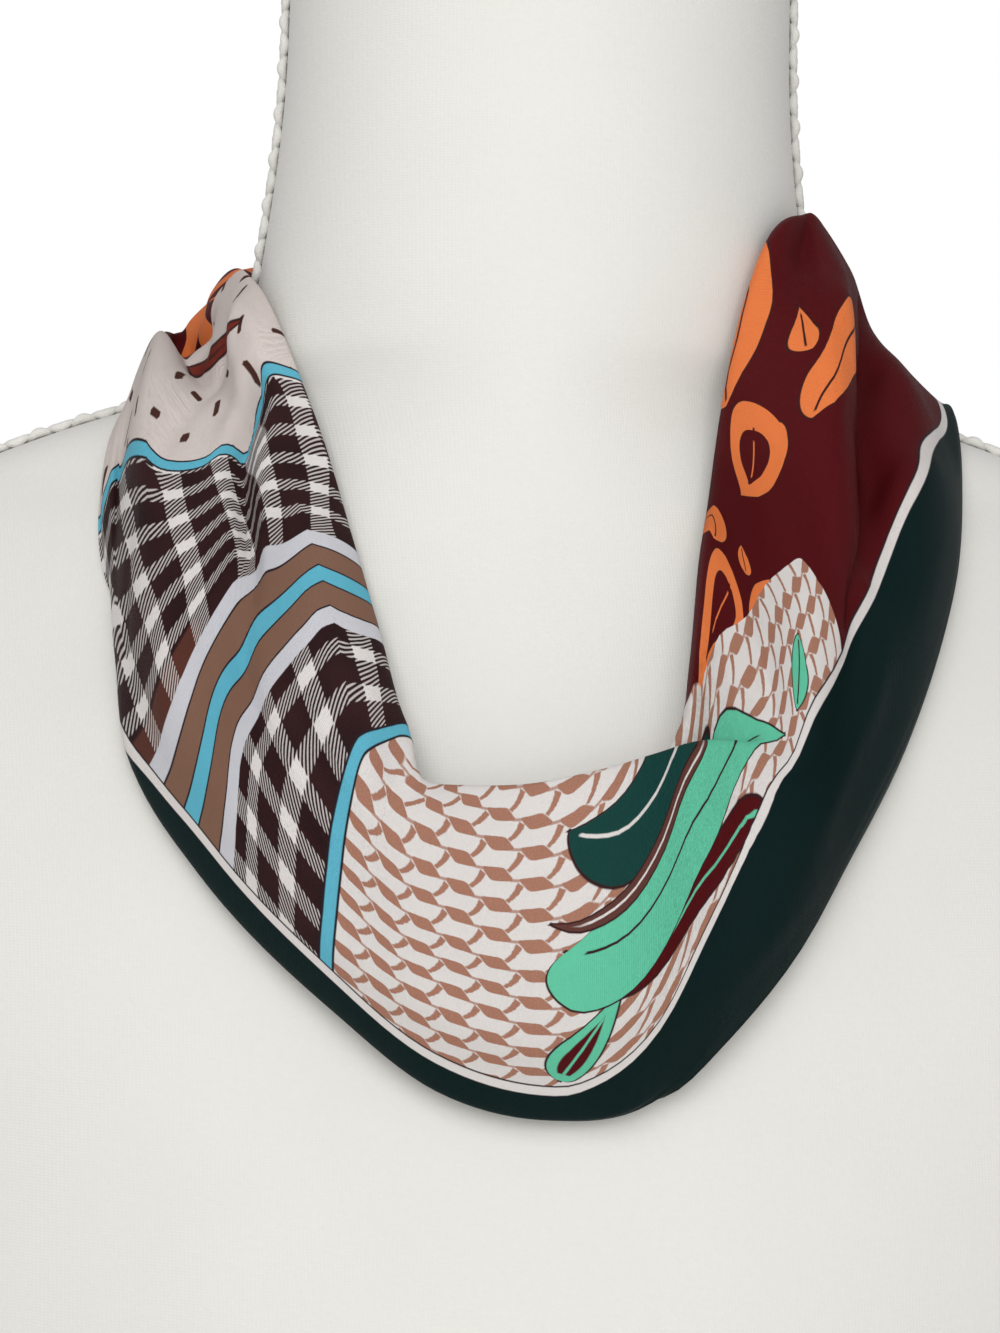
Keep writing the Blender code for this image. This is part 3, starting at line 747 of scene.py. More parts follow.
class Graph:
    """The node graph of one finish, built in a maker's order from coordinates to shader.

    Attributes:
        corner: Where the first node is laid out.
        spacing: Distance from node to node and from row to row.
        row_length: Nodes in a row.
    """

    corner = (-220, 300)
    spacing = (180, 200)
    row_length = 12

    def __init__(self, name: str) -> None:
        """Start a material that holds only its shader and its output.

        Args:
            name: The material's name.
        """
        self.material = bpy.data.materials.new(name)
        self.material.use_nodes = True
        self.tree = self.material.node_tree
        self.shader = self.tree.nodes["Principled BSDF"]
        self.count = 0

    def node(self, kind: str, **settings: object) -> bpy.types.Node:
        """Add a node, laid out in rows behind the shader.

        Args:
            kind: Name of the node's type.
            settings: Properties to set on it.

        Returns:
            The node.
        """
        made = self.tree.nodes.new(kind)
        for key, value in settings.items():
            setattr(made, key, value)
        row, column = divmod(self.count, self.row_length)
        made.location = (self.corner[0] - self.spacing[0] * column,
                         self.corner[1] - self.spacing[1] * row)
        self.count += 1
        return made

    def feed(self, socket: bpy.types.NodeSocket, source: object) -> None:
        """Link or set an input.

        Args:
            socket: The input.
            source: A value, a socket, or a plain number or colour.
        """
        if isinstance(source, Value):
            source = source.source
        if isinstance(source, bpy.types.NodeSocket):
            self.tree.links.new(source, socket)
        else:
            socket.default_value = source

    def maths(self, operation: str, *terms: "Value | float", clamp: bool = False) -> Value:
        """Add a math node.

        Args:
            operation: Name of the operation.
            terms: Up to three terms.
            clamp: Whether the result is held between 0 and 1.

        Returns:
            The result.
        """
        made = self.node("ShaderNodeMath", operation=operation, use_clamp=clamp)
        for socket, term in zip(made.inputs, terms):
            self.feed(socket, term)
        return Value(self, made.outputs[0])

    def mixed(self, share: "Value | float", under: object, over: object) -> bpy.types.NodeSocket:
        """Lay one colour over another.

        Args:
            share: 1 where the upper colour shows, 0 where the lower one does.
            under: The lower colour.
            over: The upper colour.

        Returns:
            The mixed colour's socket.
        """
        made = self.node("ShaderNodeMix", data_type="RGBA")
        colours = [socket for socket in made.inputs if socket.type == "RGBA"]
        for socket, source in zip((made.inputs[0], *colours), (share, under, over)):
            self.feed(socket, source)
        return next(socket for socket in made.outputs if socket.type == "RGBA")

    def parts(self, vector: bpy.types.NodeSocket) -> tuple[Value, Value, Value]:
        """Take a vector apart.

        Args:
            vector: The vector's socket.

        Returns:
            Its three numbers.
        """
        apart = self.node("ShaderNodeSeparateXYZ")
        self.feed(apart.inputs[0], vector)
        return tuple(Value(self, apart.outputs[k]) for k in range(3))

    def attribute(self, name: str) -> tuple[Value, Value, Value]:
        """Read a vector that the mesh holds."""
        return self.parts(self.node("ShaderNodeAttribute", attribute_name=name).outputs["Vector"])

    def vector(self, x: Value, y: Value) -> bpy.types.NodeSocket:
        """Join two numbers into a flat vector.

        Args:
            x: Its first number.
            y: Its second number.

        Returns:
            The vector's socket.
        """
        made = self.node("ShaderNodeCombineXYZ")
        for socket, term in zip(made.inputs, (x, y)):
            self.feed(socket, term)
        return made.outputs[0]

    def noise(self, at: bpy.types.NodeSocket, scale: float, detail: float = 2.0) -> Value:
        """Read soft noise.

        Args:
            at: The vector at which it is read.
            scale: How fine it is.
            detail: How many finer layers it has.

        Returns:
            The noise, 0 to 1.
        """
        made = self.node("ShaderNodeTexNoise")
        self.feed(made.inputs["Vector"], at)
        made.inputs["Scale"].default_value = scale
        made.inputs["Detail"].default_value = detail
        return Value(self, made.outputs["Fac"])

    def scatter(self, cell: bpy.types.NodeSocket) -> tuple[Value, Value, Value]:
        """Read three fixed numbers that differ from cell to cell.

        Args:
            cell: A vector of whole numbers.

        Returns:
            The numbers, 0 to 1.
        """
        made = self.node("ShaderNodeTexWhiteNoise", noise_dimensions="3D")
        self.feed(made.inputs["Vector"], cell)
        apart = self.node("ShaderNodeSeparateColor")
        self.feed(apart.inputs[0], made.outputs["Color"])
        return tuple(Value(self, apart.outputs[k]) for k in range(3))

    def place(self) -> bpy.types.NodeSocket:
        """Return the place on the object, in metres."""
        return self.node("ShaderNodeTexCoord").outputs["Object"]

    def raise_surface(self, height: Value, depth: float) -> None:
        """Bump the surface.

        Args:
            height: Height, 0 to 1.
            depth: What a height of 1 stands for, metres.
        """
        made = self.node("ShaderNodeBump")
        made.inputs["Distance"].default_value = depth
        made.inputs["Strength"].default_value = 1.0
        self.feed(made.inputs["Height"], height)
        self.feed(self.shader.inputs["Normal"], made.outputs[0])

    def set(self, **numbers: float) -> None:
        """Set plain numbers on the shader's own sockets."""
        for key, value in numbers.items():
            self.shader.inputs[key.replace("_", " ")].default_value = value


class Ink(Enum):
    """The print's colours."""

    OFF_WHITE = linear(214, 209, 206)
    GROUND_WHITE = linear(204, 193, 188)
    FLECK_BROWN = linear(70, 42, 36)
    BLUE = linear(92, 172, 194)
    OUTLINE = linear(38, 30, 36)
    STRIPE_TAN = linear(124, 92, 76)
    STRIPE_WHITE = linear(196, 196, 202)
    CHECK_BLACK = linear(28, 17, 19)
    CHECK_BROWN = linear(58, 32, 32)
    CHECK_RED = linear(84, 48, 40)
    LEATHER_BROWN = linear(92, 56, 50)
    LEAF_GREEN = linear(22, 62, 58)
    TOOTH_BROWN = linear(138, 96, 78)
    TOOTH_TAN = linear(180, 130, 110)
    BURGUNDY = linear(78, 15, 19)
    ORANGE = linear(224, 120, 66)
    DEEP_GREEN = linear(8, 29, 29)
    MINT = linear(96, 190, 156)
    DARK_BROWN = linear(52, 28, 30)
    RUST = linear(112, 42, 30)


class Motif(Enum):
    """Outlines that a printed motif may have: how its width swells and ends along its length."""

    LEAF = (0.8, 0.8)
    PAISLEY = (1.3, 0.5)
    DROP = (1.0, 0.5)


@dataclass(frozen=True)
class PrintedMotif:
    """One outlined leaf or paisley of the print.

    Attributes:
        motif: Its kind of outline.
        along: Place of its stalk end along the print.
        across: Place of its stalk end up from the hem.
        heading: Direction of its length, degrees from along the print.
        length: Length, centimetres.
        width: Greatest width.
        bend: How strongly it curls to one side.
        fill: Its colour.
        vein: Colour of its middle line.
        inset: How far its heart lies inside the outline.
        heart: Colour of its heart, where that differs from the fill.
        half_vein: Half the width of its middle line.
    """

    motif: Motif
    along: float
    across: float
    heading: float
    length: float
    width: float
    bend: float
    fill: Ink
    vein: Ink
    inset: float = 0.1
    heart: Ink | None = None
    half_vein: float = 0.03

    def laid_on(self, g: Graph, s: Value, t: Value, under: object,
                repeat: tuple[float, float] | None = None) -> bpy.types.NodeSocket:
        """Lay the motif over a ground.

        Args:
            g: The graph.
            s: Place along the print.
            t: Place up from the hem.
            under: Colour of the ground.
            repeat: Size of the repeat in which it comes back, if it does.

        Returns:
            The colour's socket.
        """
        a = math.radians(self.heading)
        x, y = s - self.along, t - self.across
        if repeat:
            middle = (self.length / 2 * math.cos(a), self.length / 2 * math.sin(a))
            x, y = ((place - half).wrapped(span) + half
                    for place, half, span in zip((x, y), middle, repeat))
        run = (x * math.cos(a) + y * math.sin(a)) / self.length
        side = (y * math.cos(a) - x * math.sin(a)) / self.length
        side = abs(side - run * run * self.bend)
        start, end = self.motif.value
        peak = start / (start + end)
        scale = self.width / self.length / 2 / (peak ** start * (1 - peak) ** end)
        swell = run.power(start) * (1.0 - run).power(end)
        room = (swell * scale - side) * self.length
        room = room.least(run * self.length).least((1.0 - run) * self.length)
        body: object = self.fill.value
        if self.heart:
            body = g.mixed((room - self.inset).inside(0.03), body, self.heart.value)
        line = (self.half_vein - side * self.length).inside().least((room - self.inset).inside(0.05))
        body = g.mixed(line, body, self.vein.value)
        body = g.mixed(room.inside(), Ink.DARK_BROWN.value, body)
        return g.mixed((room + OUTLINE).inside(0.025), under, body)


@dataclass(frozen=True)
class FleckedGround:
    """Off-white ground with small brown flecks, one in each cell and turned at random.

    Attributes:
        pitch: Distance from one fleck to the next, on the worn cloth.
        jog: How much of its cell a fleck's middle may move about in.
        least_lean: Least turn of a fleck, radians.
        leans: Range of the turns.
        half_length: Half the length of the shortest fleck.
        longer: How much is added to that for the longest.
        half_width: Half a fleck's width.
    """

    pitch: float = 0.9
    jog: float = 0.4
    least_lean: float = -0.9
    leans: float = 2.4
    half_length: float = 0.14
    longer: float = 0.05
    half_width: float = 0.066

    def laid(self, g: Graph, x: Value, y: Value) -> bpy.types.NodeSocket:
        """Build the ground's colour.

        Args:
            g: The graph.
            x: Place round the worn strip.
            y: Place up the worn strip.

        Returns:
            The colour's socket.
        """
        column = (x / self.pitch).floor()
        rows = y / self.pitch + column.wrapped(2.0) * 0.5
        jog, turn, size = g.scatter(g.vector(column, rows.floor()))
        x = (x / self.pitch - column - 0.5 - (jog - 0.5) * self.jog) * self.pitch
        y = (rows - rows.floor() - 0.5 - (turn - 0.5) * self.jog) * self.pitch
        lean = turn * self.leans + self.least_lean
        cos, sin = lean.combined("COSINE"), lean.sine()
        length, width = abs(x * cos + y * sin), abs(y * cos - x * sin)
        pointed = size * self.longer + self.half_length - length - width * 0.5
        fleck = pointed.least(self.half_width - width).inside(0.025)
        return g.mixed(fleck, Ink.GROUND_WHITE.value, Ink.FLECK_BROWN.value)


@dataclass(frozen=True)
class TwillCheck:
    """Brown and white check: solid where two dark bands cross, twilled where one does.

    Attributes:
        row: Where the last light row before the stripes or before the blue line lies.
        pitch: Distance from row to row.
        red_from: Where the brown turns redder, at the end next to the stripes.
        red_height: How far up from the border it does so.
        column: Lowest light column, up from the border.
        column_pitch: Distance from column to column.
        half_row: Half a light row's width, as a share of the pitch.
        half_column: Half a light column's width, as a share of the column pitch.
        twill_pitch: Distance from one twill line to the next.
        twill_slant: How much a twill line leans.
        fray: How far the twill frays the edges.
        hatching: Strength of the half-tone.
        clouds: How fine the changes of the brown are.
    """

    row: float
    pitch: float
    red_from: float
    red_height: float = 2.5
    column: float = 0.34
    column_pitch: float = 1.1
    half_row: float = 0.185
    half_column: float = 0.19
    twill_pitch: float = 0.08
    twill_slant: float = 0.5
    fray: float = 0.012
    hatching: float = 0.72
    clouds: float = 1.1

    def laid(self, g: Graph, s: Value, t: Value) -> bpy.types.NodeSocket:
        """Build the check's colour.

        Args:
            g: The graph.
            s: Place along the print.
            t: Place up from the hem.

        Returns:
            The colour's socket.
        """
        twill = ((s + t * self.twill_slant) * (2 * math.pi / self.twill_pitch)).sine()
        fray = twill * self.fray
        across = abs((s.least(self.row + self.pitch / 2) - self.row).wrapped(self.pitch))
        up = abs((t - self.column - BORDER).wrapped(self.column_pitch))
        light_row = (fray - across + self.pitch * self.half_row).inside()
        light_column = (fray - up + self.column_pitch * self.half_column).inside()
        either, both = light_row.most(light_column), light_row.least(light_column)
        tone = g.noise(g.vector(s, t), self.clouds, 1.0)
        brown = g.mixed(tone, Ink.CHECK_BLACK.value, Ink.CHECK_BROWN.value)
        red = (s - self.red_from).inside(0.05).least((BORDER - t + self.red_height).inside(0.1))
        dark = g.mixed(red, brown, Ink.CHECK_RED.value)
        hatched = g.mixed((twill - 0.2).inside(1.0) * self.hatching, dark, Ink.OFF_WHITE.value)
        return g.mixed(both, g.mixed(either, dark, hatched), Ink.OFF_WHITE.value)


@dataclass(frozen=True)
class Houndstooth:
    """Tan teeth on off-white: a slanted block in each cell, joined by curved hooks and threads.

    Sizes are shares of the pitch where no unit is given.

    Attributes:
        pitch: The repeat, print centimetres.
        first: Place of one tooth along the print and up from the border, centimetres.
        lean: How much the rows lean at the border.
        lean_loss: How much less they lean a centimetre further up.
        lean_most: The strongest lean.
        fray: Unevenness of the hooks' edges.
        fray_scale: How fine that unevenness is.
        block_slants: How far the block's upright and level sides slant.
        block_sizes: One over half the block's width and half its height.
        squareness: Power that squares the block's corners.
        hook_at: Place of a hook's middle before the block's.
        hook_way: Direction of its length.
        hook_bow: How strongly it bows.
        hook_aside: How far its bow is set aside.
        hook_half: Half its width in the middle.
        hook_swell: How much wider it grows towards one end.
        hook_reach: Half its length.
        thread_at: Place of a thread's middle before the block's.
        thread_slant: How much it leans.
        thread_half: Half its width.
        thread_reach: Half its length.
        thread_tone: Its strength beside the block's.
        grain: How fine the tan's grain is.
    """

    pitch: float = 0.66
    first: tuple[float, float] = (-0.42, 2.2)
    lean: float = 0.27
    lean_loss: float = 0.05
    lean_most: float = 0.16
    fray: float = 0.05
    fray_scale: float = 14.0
    block_slants: tuple[float, float] = (0.85, 0.38)
    block_sizes: tuple[float, float] = (2.35, 4.3)
    squareness: float = 6.0
    hook_at: tuple[float, float] = (0.54, 0.46)
    hook_way: tuple[float, float] = (0.447, 0.894)
    hook_bow: float = 0.3
    hook_aside: float = 0.02
    hook_half: float = 0.07
    hook_swell: float = 0.05
    hook_reach: float = 0.38
    thread_at: tuple[float, float] = (-0.5, 0.02)
    thread_slant: float = 0.3
    thread_half: float = 0.05
    thread_reach: float = 0.16
    thread_tone: float = 0.8
    grain: float = 34.0

    def block(self, x: Value, y: Value, fray: Value) -> Value:
        """Draw the print inside the slanted block of each cell.

        Args:
            x: Place along the cells, in pitches.
            y: Place up the cells, in pitches.
            fray: Unevenness of the edges.

        Returns:
            1 inside it and 0 outside.
        """
        x, y = x.wrapped(1.0), y.wrapped(1.0)
        across = abs(x + y * self.block_slants[0]) * self.block_sizes[0]
        up = abs(y - x * self.block_slants[1]) * self.block_sizes[1]
        block = across.power(self.squareness) + up.power(self.squareness)
        return (fray * 10.0 - block + 1.0).inside(0.7)

    def hook(self, x: Value, y: Value, fray: Value) -> Value:
        """Draw the print inside the curved hook between one block and the next.

        Args:
            x: Place along the cells, in pitches.
            y: Place up the cells, in pitches.
            fray: Unevenness of the edges.

        Returns:
            1 inside it and 0 outside.
        """
        x, y = (x + self.hook_at[0]).wrapped(1.0), (y + self.hook_at[1]).wrapped(1.0)
        run, rise = self.hook_way
        reach, aside = x * run + y * rise, x * rise - y * run
        bow = abs(aside + reach * reach * self.hook_bow - self.hook_aside)
        width = fray - bow + reach * self.hook_swell + self.hook_half
        return width.inside(0.03).least((self.hook_reach - abs(reach)).inside(0.05))

    def thread(self, x: Value, y: Value) -> Value:
        """Draw the print inside the short thread beside each block.

        Args:
            x: Place along the cells, in pitches.
            y: Place up the cells, in pitches.

        Returns:
            1 inside it and 0 outside.
        """
        x, y = (x + self.thread_at[0]).wrapped(1.0), (y + self.thread_at[1]).wrapped(1.0)
        width = self.thread_half - abs(y - x * self.thread_slant)
        return width.inside(0.03).least((self.thread_reach - abs(x)).inside(0.04))

    def laid(self, g: Graph, s: Value, t: Value) -> bpy.types.NodeSocket:
        """Build the houndstooth's colour.

        Args:
            g: The graph.
            s: Place along the print.
            t: Place up from the hem.

        Returns:
            The colour's socket.
        """
        lean = (self.lean - (t - BORDER) * self.lean_loss).most(0.0).least(self.lean_most)
        fray = (g.noise(g.vector(s, t), self.fray_scale, 1.0) - 0.5) * self.fray
        run = s - self.first[0]
        x, y = run / self.pitch, (t + run * lean - self.first[1] - BORDER) / self.pitch
        thread = self.thread(x, y) * self.thread_tone
        tooth = self.block(x, y, fray).most(self.hook(x, y, fray)).most(thread)
        grain = g.noise(g.vector(s, t), self.grain)
        tan = g.mixed(grain, Ink.TOOTH_BROWN.value, Ink.TOOTH_TAN.value)
        return g.mixed(tooth, Ink.OFF_WHITE.value, tan)


@dataclass(frozen=True)
class ScarfPrint:
    """The printed satin: where each part of the print starts, in print centimetres.

    Attributes:
        ground: The flecked ground at the left.
        first_blue: Middle of the blue line before the checks.
        stripes: Edges of the band of stripes.
        second_blue: Middle of the blue line before the houndstooth.
        checks: The check before the stripes and the one after them.
        houndstooth: The ground at the front.
        burgundy_start: Where the houndstooth ends at the hem.
        burgundy_back: How far back its end leans further up.
        lean_from: Height at which it starts to lean.
        lean_over: Height over which it leans back.
        left_end: Where the flecked ground ends, on the hidden side.
        repeat: Size of the repeat of the orange motifs.
        line_width: Width of a blue line.
        edge_line: Width of the white line along the green border.
        edge_outlines: Widths of the dark lines on its two sides.
        yarn_pitch: Distance from one yarn of the satin to the next.
        grain: How fine the satin's unevenness is.
        bump: Depth of its weave, metres.
    """

    ground: FleckedGround = FleckedGround()
    first_blue: float = -11.41
    stripes: tuple[float, ...] = (-7.83, -7.4, -6.8, -6.34, -5.66, -5.23)
    second_blue: float = -3.4
    checks: tuple[TwillCheck, ...] = (TwillCheck(-8.45, 0.572, -8.25), TwillCheck(-4.1, 0.69, 0.0))
    houndstooth: Houndstooth = Houndstooth()
    burgundy_start: float = 8.85
    burgundy_back: float = 5.1
    lean_from: float = 2.175
    lean_over: float = 2.9
    left_end: float = -15.6
    repeat: tuple[float, float] = (6.8, 8.4)
    line_width: float = 0.21
    edge_line: float = 0.2
    edge_outlines: tuple[float, float] = (0.02, 0.035)
    yarn_pitch: float = 0.028
    grain: float = 60.0
    bump: float = 0.00012

    def burgundy(self, g: Graph, s: Value, t: Value) -> bpy.types.NodeSocket:
        """Build the burgundy ground with orange paisleys and leaves in a regular repeat.

        Args:
            g: The graph.
            s: Place along the print.
            t: Place up from the hem.

        Returns:
            The colour's socket.
        """
        colour: object = Ink.BURGUNDY.value
        for motif in BURGUNDY_MOTIFS:
            colour = motif.laid_on(g, s, t, colour, self.repeat)
        return POCKET_BLOOM.laid_on(g, s, t, colour)

    @staticmethod
    def band(s: Value, start: float, end: float) -> Value:
        """Return 1 between two places along the print."""
        return ((end - start) / 2 - abs(s - (start + end) / 2)).inside()

    def stripes_on(self, g: Graph, s: Value, under: object) -> object:
        """Lay the band of five stripes over a ground, with dark lines between them.

        Args:
            g: The graph.
            s: Place along the print.
            under: Colour of the ground.

        Returns:
            The colour's socket.
        """
        inks = (Ink.STRIPE_WHITE, Ink.STRIPE_TAN, Ink.BLUE, Ink.STRIPE_TAN, Ink.STRIPE_WHITE)
        for start, end, ink in zip(self.stripes, self.stripes[1:], inks):
            under = g.mixed(self.band(s, start, end), under, ink.value)
        for place in self.stripes[1:-1]:
            line = self.band(s, place - OUTLINE / 2, place + OUTLINE / 2)
            under = g.mixed(line, under, Ink.OUTLINE.value)
        return under

    def line_on(self, g: Graph, s: Value, middle: float, under: object) -> object:
        """Lay an outlined blue line over a ground.

        Args:
            g: The graph.
            s: Place along the print.
            middle: The line's own place along the print.
            under: Colour of the ground.

        Returns:
            The colour's socket.
        """
        for half, ink in ((self.line_width / 2 + OUTLINE, Ink.OUTLINE), (self.line_width / 2, Ink.BLUE)):
            under = g.mixed(self.band(s, middle - half, middle + half), under, ink.value)
        return under

    def bordered(self, g: Graph, above: Value, under: object) -> object:
        """Lay the outlined white line and the green border over the print.

        Args:
            g: The graph.
            above: Rise above the border's edge.
            under: Colour of the print.

        Returns:
            The colour's socket.
        """
        inner, outer = self.edge_outlines
        for edge, ink in ((self.edge_line + outer, Ink.OUTLINE), (self.edge_line, Ink.OFF_WHITE),
                          (inner, Ink.OUTLINE), (0.0, Ink.DEEP_GREEN)):
            under = g.mixed((edge - above).inside(), under, ink.value)
        return under

    def made(self) -> bpy.types.Material:
        """Build the finish.

        Returns:
            The material.
        """
        g = Graph("printed_satin")
        s, t, above = g.attribute("print_place")
        x, y, _ = g.attribute("cloth_place")
        colour: object = POCKET_LEAF.laid_on(g, x, y, self.ground.laid(g, x, y))
        for edge, check in zip((self.first_blue, self.stripes[-1]), self.checks):
            colour = g.mixed((s - edge).inside(), colour, check.laid(g, s, t))
        colour = self.stripes_on(g, s, colour)
        colour = g.mixed((s - self.second_blue).inside(), colour, self.houndstooth.laid(g, s, t))
        for motif in MINT_MOTIFS:
            colour = motif.laid_on(g, s, t, colour)
        for middle in (self.first_blue, self.second_blue):
            colour = self.line_on(g, s, middle, colour)
        lean = ((t - BORDER - self.lean_from) / self.lean_over).eased()
        edge = self.burgundy_start - lean * self.burgundy_back
        ends = (s - edge).inside().most((self.left_end - s).inside())
        colour = self.bordered(g, above, g.mixed(ends, colour, self.burgundy(g, s, t)))
        g.feed(g.shader.inputs["Base Color"], colour)
        g.set(Roughness=0.45, Specular_IOR_Level=0.05)
        warp, weft = ((place * (2 * math.pi / self.yarn_pitch)).sine() * 0.5 for place in (s, t))
        g.raise_surface((warp + weft) * 0.3 + g.noise(g.vector(s, t), self.grain, 3.0), self.bump)
        return g.material


# A thin rust leaf on the flecked ground at the pocket, placed on the worn cloth, and an orange
# one on the burgundy that shows inside the pocket.
POCKET_LEAF = PrintedMotif(Motif.LEAF, -11.6, 2.6, 44.0, 3.4, 0.24, 0.14, Ink.RUST, Ink.DARK_BROWN)
POCKET_BLOOM = PrintedMotif(Motif.LEAF, -20.3, 3.95, 8.0, 2.8, 1.7, 0.1, Ink.ORANGE, Ink.RUST, 0.3)

# Orange paisleys and leaves on the burgundy ground.
BURGUNDY_MOTIFS: tuple[PrintedMotif, ...] = (
    PrintedMotif(Motif.PAISLEY, 9.9, 7.0, -22.0, 2.8, 2.6, 0.3, Ink.ORANGE, Ink.ORANGE),
    PrintedMotif(Motif.PAISLEY, 10.8, 6.75, -12.0, 1.55, 1.3, 0.25, Ink.BURGUNDY, Ink.ORANGE, 0.2),
    PrintedMotif(Motif.LEAF, 13.0, 8.0, -6.0, 2.8, 1.4, 0.5, Ink.ORANGE, Ink.DARK_BROWN, 0.14),
    PrintedMotif(Motif.LEAF, 12.1, 5.2, 10.0, 2.4, 1.3, -0.45, Ink.ORANGE, Ink.DARK_BROWN, 0.14),
    PrintedMotif(Motif.DROP, 14.3, 6.6, 200.0, 0.9, 0.7, 0.2, Ink.ORANGE, Ink.DARK_BROWN),
)

# A spray of leaves round a mint paisley on the houndstooth.
MINT_MOTIFS: tuple[PrintedMotif, ...] = (
    PrintedMotif(Motif.LEAF, 1.1, 4.7, -36.0, 4.1, 0.75, -0.12, Ink.BURGUNDY, Ink.MINT),
    PrintedMotif(Motif.DROP, 1.5, 4.3, 232.0, 2.0, 0.85, 0.25, Ink.MINT, Ink.MINT, 0.2, Ink.BURGUNDY),
    PrintedMotif(Motif.LEAF, 5.9, 2.5, 24.0, 1.5, 0.7, 0.2, Ink.MINT, Ink.DARK_BROWN),
    PrintedMotif(Motif.PAISLEY, 5.2, 2.7, 136.0, 5.5, 2.5, 0.14, Ink.MINT, Ink.DARK_BROWN, 0.3),
    PrintedMotif(Motif.LEAF, 3.6, 5.5, 130.0, 4.1, 1.6, 0.06, Ink.LEAF_GREEN, Ink.OFF_WHITE, 0.2),
    PrintedMotif(Motif.LEAF, 3.5, 5.3, 146.0, 3.2, 0.42, 0.2, Ink.LEATHER_BROWN, Ink.OFF_WHITE),
)


@dataclass(frozen=True)
class Crease:
    """One soft fold of the cloth.

    Attributes:
        start: Turn and rise above the turned hem where it starts.
        end: Turn and rise where it ends.
        bow: How far its middle lies aside of the straight line.
        height: How far it stands out, or lies in when negative.
        half_width: Half its width.
        steep: The same on its upper side, where that differs.
        fade_in: Slope and start of its fading in along its length.
        fade_out: The same for its fading out.
    """

    start: tuple[float, float]
    end: tuple[float, float]
    bow: float
    height: float
    half_width: float
    steep: float | None = None
    fade_in: tuple[float, float] = (1.15, 0.1)
    fade_out: tuple[float, float] = (1.05, 1.1)

    def lift(self, turn: np.ndarray, rise: np.ndarray, round_length: float) -> np.ndarray:
        """Find how far the crease lifts the cloth.

        Args:
            turn: Turn of each point.
            rise: Its rise above the turned hem.
            round_length: Centimetres of cloth in a degree of turn.

        Returns:
            The lift of each point.
        """
        run = np.array([(self.end[0] - self.start[0]) * round_length, self.end[1] - self.start[1]])
        length = float(np.hypot(*run))
        run /= length
        x, y = (turn - self.start[0]) * round_length, rise - self.start[1]
        along, aside = (x * run[0] + y * run[1]) / length, y * run[0] - x * run[1]
        aside = aside - self.bow * 4 * along * (1 - along)
        fading_in = np.clip(along * self.fade_in[0] + self.fade_in[1], 0, 1)
        fading_out = np.clip(self.fade_out[1] - along * self.fade_out[0], 0, 1)
        strength = np.minimum(fading_in * fading_out * 4, 1.0)
        upper = aside * np.sign(run[0]) > 0
        width = np.where(upper, self.steep or self.half_width, self.half_width)
        return self.height * strength * np.exp(-(aside / width) ** 2)


# start (turn, rise), end (turn, rise), bow, height, half_width
CREASES: tuple[Crease, ...] = (
    # viewer's left: below the pocket and across the checks
    Crease((-62.0, 4.6), (-55.0, 2.6), 0.15, -0.10, 0.26),
    Crease((-47.0, 3.2), (-40.0, 1.2), 0.20, 0.05, 0.34),
    Crease((-39.0, 4.6), (-30.0, 3.2), -0.15, -0.05, 0.30),
    Crease((-58.0, 1.6), (-49.0, 0.6), 0.10, -0.05, 0.32),
    Crease((-30.0, 5.8), (-21.0, 4.9), 0.20, 0.04, 0.28),
    Crease((-53.0, 4.95), (-36.5, 4.6), 0.0, -0.32, 0.30, 0.24),
    Crease((-36.5, 3.9), (-28.0, 2.9), 0.0, -0.10, 0.34),
    Crease((-64.0, 5.0), (-47.0, 4.0), 0.25, 0.10, 0.24),
    Crease((-97.0, 1.8), (-68.0, 3.3), 0.0, -0.26, 0.36),
    # front
    Crease((-14.0, 3.9), (4.0, 2.9), 0.30, -0.04, 0.42),
    Crease((-6.0, 5.5), (10.0, 4.4), -0.20, 0.04, 0.36),
    Crease((-9.0, 1.6), (9.0, 1.3), 0.15, 0.03, 0.34),
    Crease((12.0, 5.4), (24.0, 3.6), 0.20, 0.05, 0.26),
    Crease((14.0, 4.3), (21.0, 2.5), -0.20, -0.05, 0.30),
    # viewer's right
    Crease((78.0, 3.25), (45.0, 2.95), 0.0, -0.45, 0.42, 0.20),
    Crease((47.0, 3.05), (37.0, 3.0), 0.0, -0.16, 0.26, 0.16),
    Crease((30.0, 2.6), (42.0, 1.0), 0.20, 0.05, 0.40),
    Crease((44.0, 5.0), (52.0, 3.0), 0.15, -0.06, 0.30),
    Crease((50.0, 2.8), (66.0, 1.4), -0.25, 0.05, 0.38),
    Crease((57.0, 3.6), (70.0, 2.6), 0.10, -0.04, 0.26),
    # behind the neck
    Crease((88.0, 3.4), (118.0, 2.2), 0.30, 0.06, 0.36),
    Crease((104.0, 1.9), (142.0, 1.1), -0.20, -0.07, 0.44),
    Crease((126.0, 3.6), (166.0, 3.0), 0.25, -0.05, 0.32),
    Crease((150.0, 2.0), (178.0, 0.9), 0.20, 0.07, 0.40),
    Crease((-172.0, 2.9), (-138.0, 2.1), -0.25, 0.06, 0.36),
    Crease((-160.0, 1.0), (-122.0, 1.6), 0.20, -0.06, 0.40),
    Crease((-132.0, 3.3), (-104.0, 2.4), 0.20, 0.05, 0.30),
)


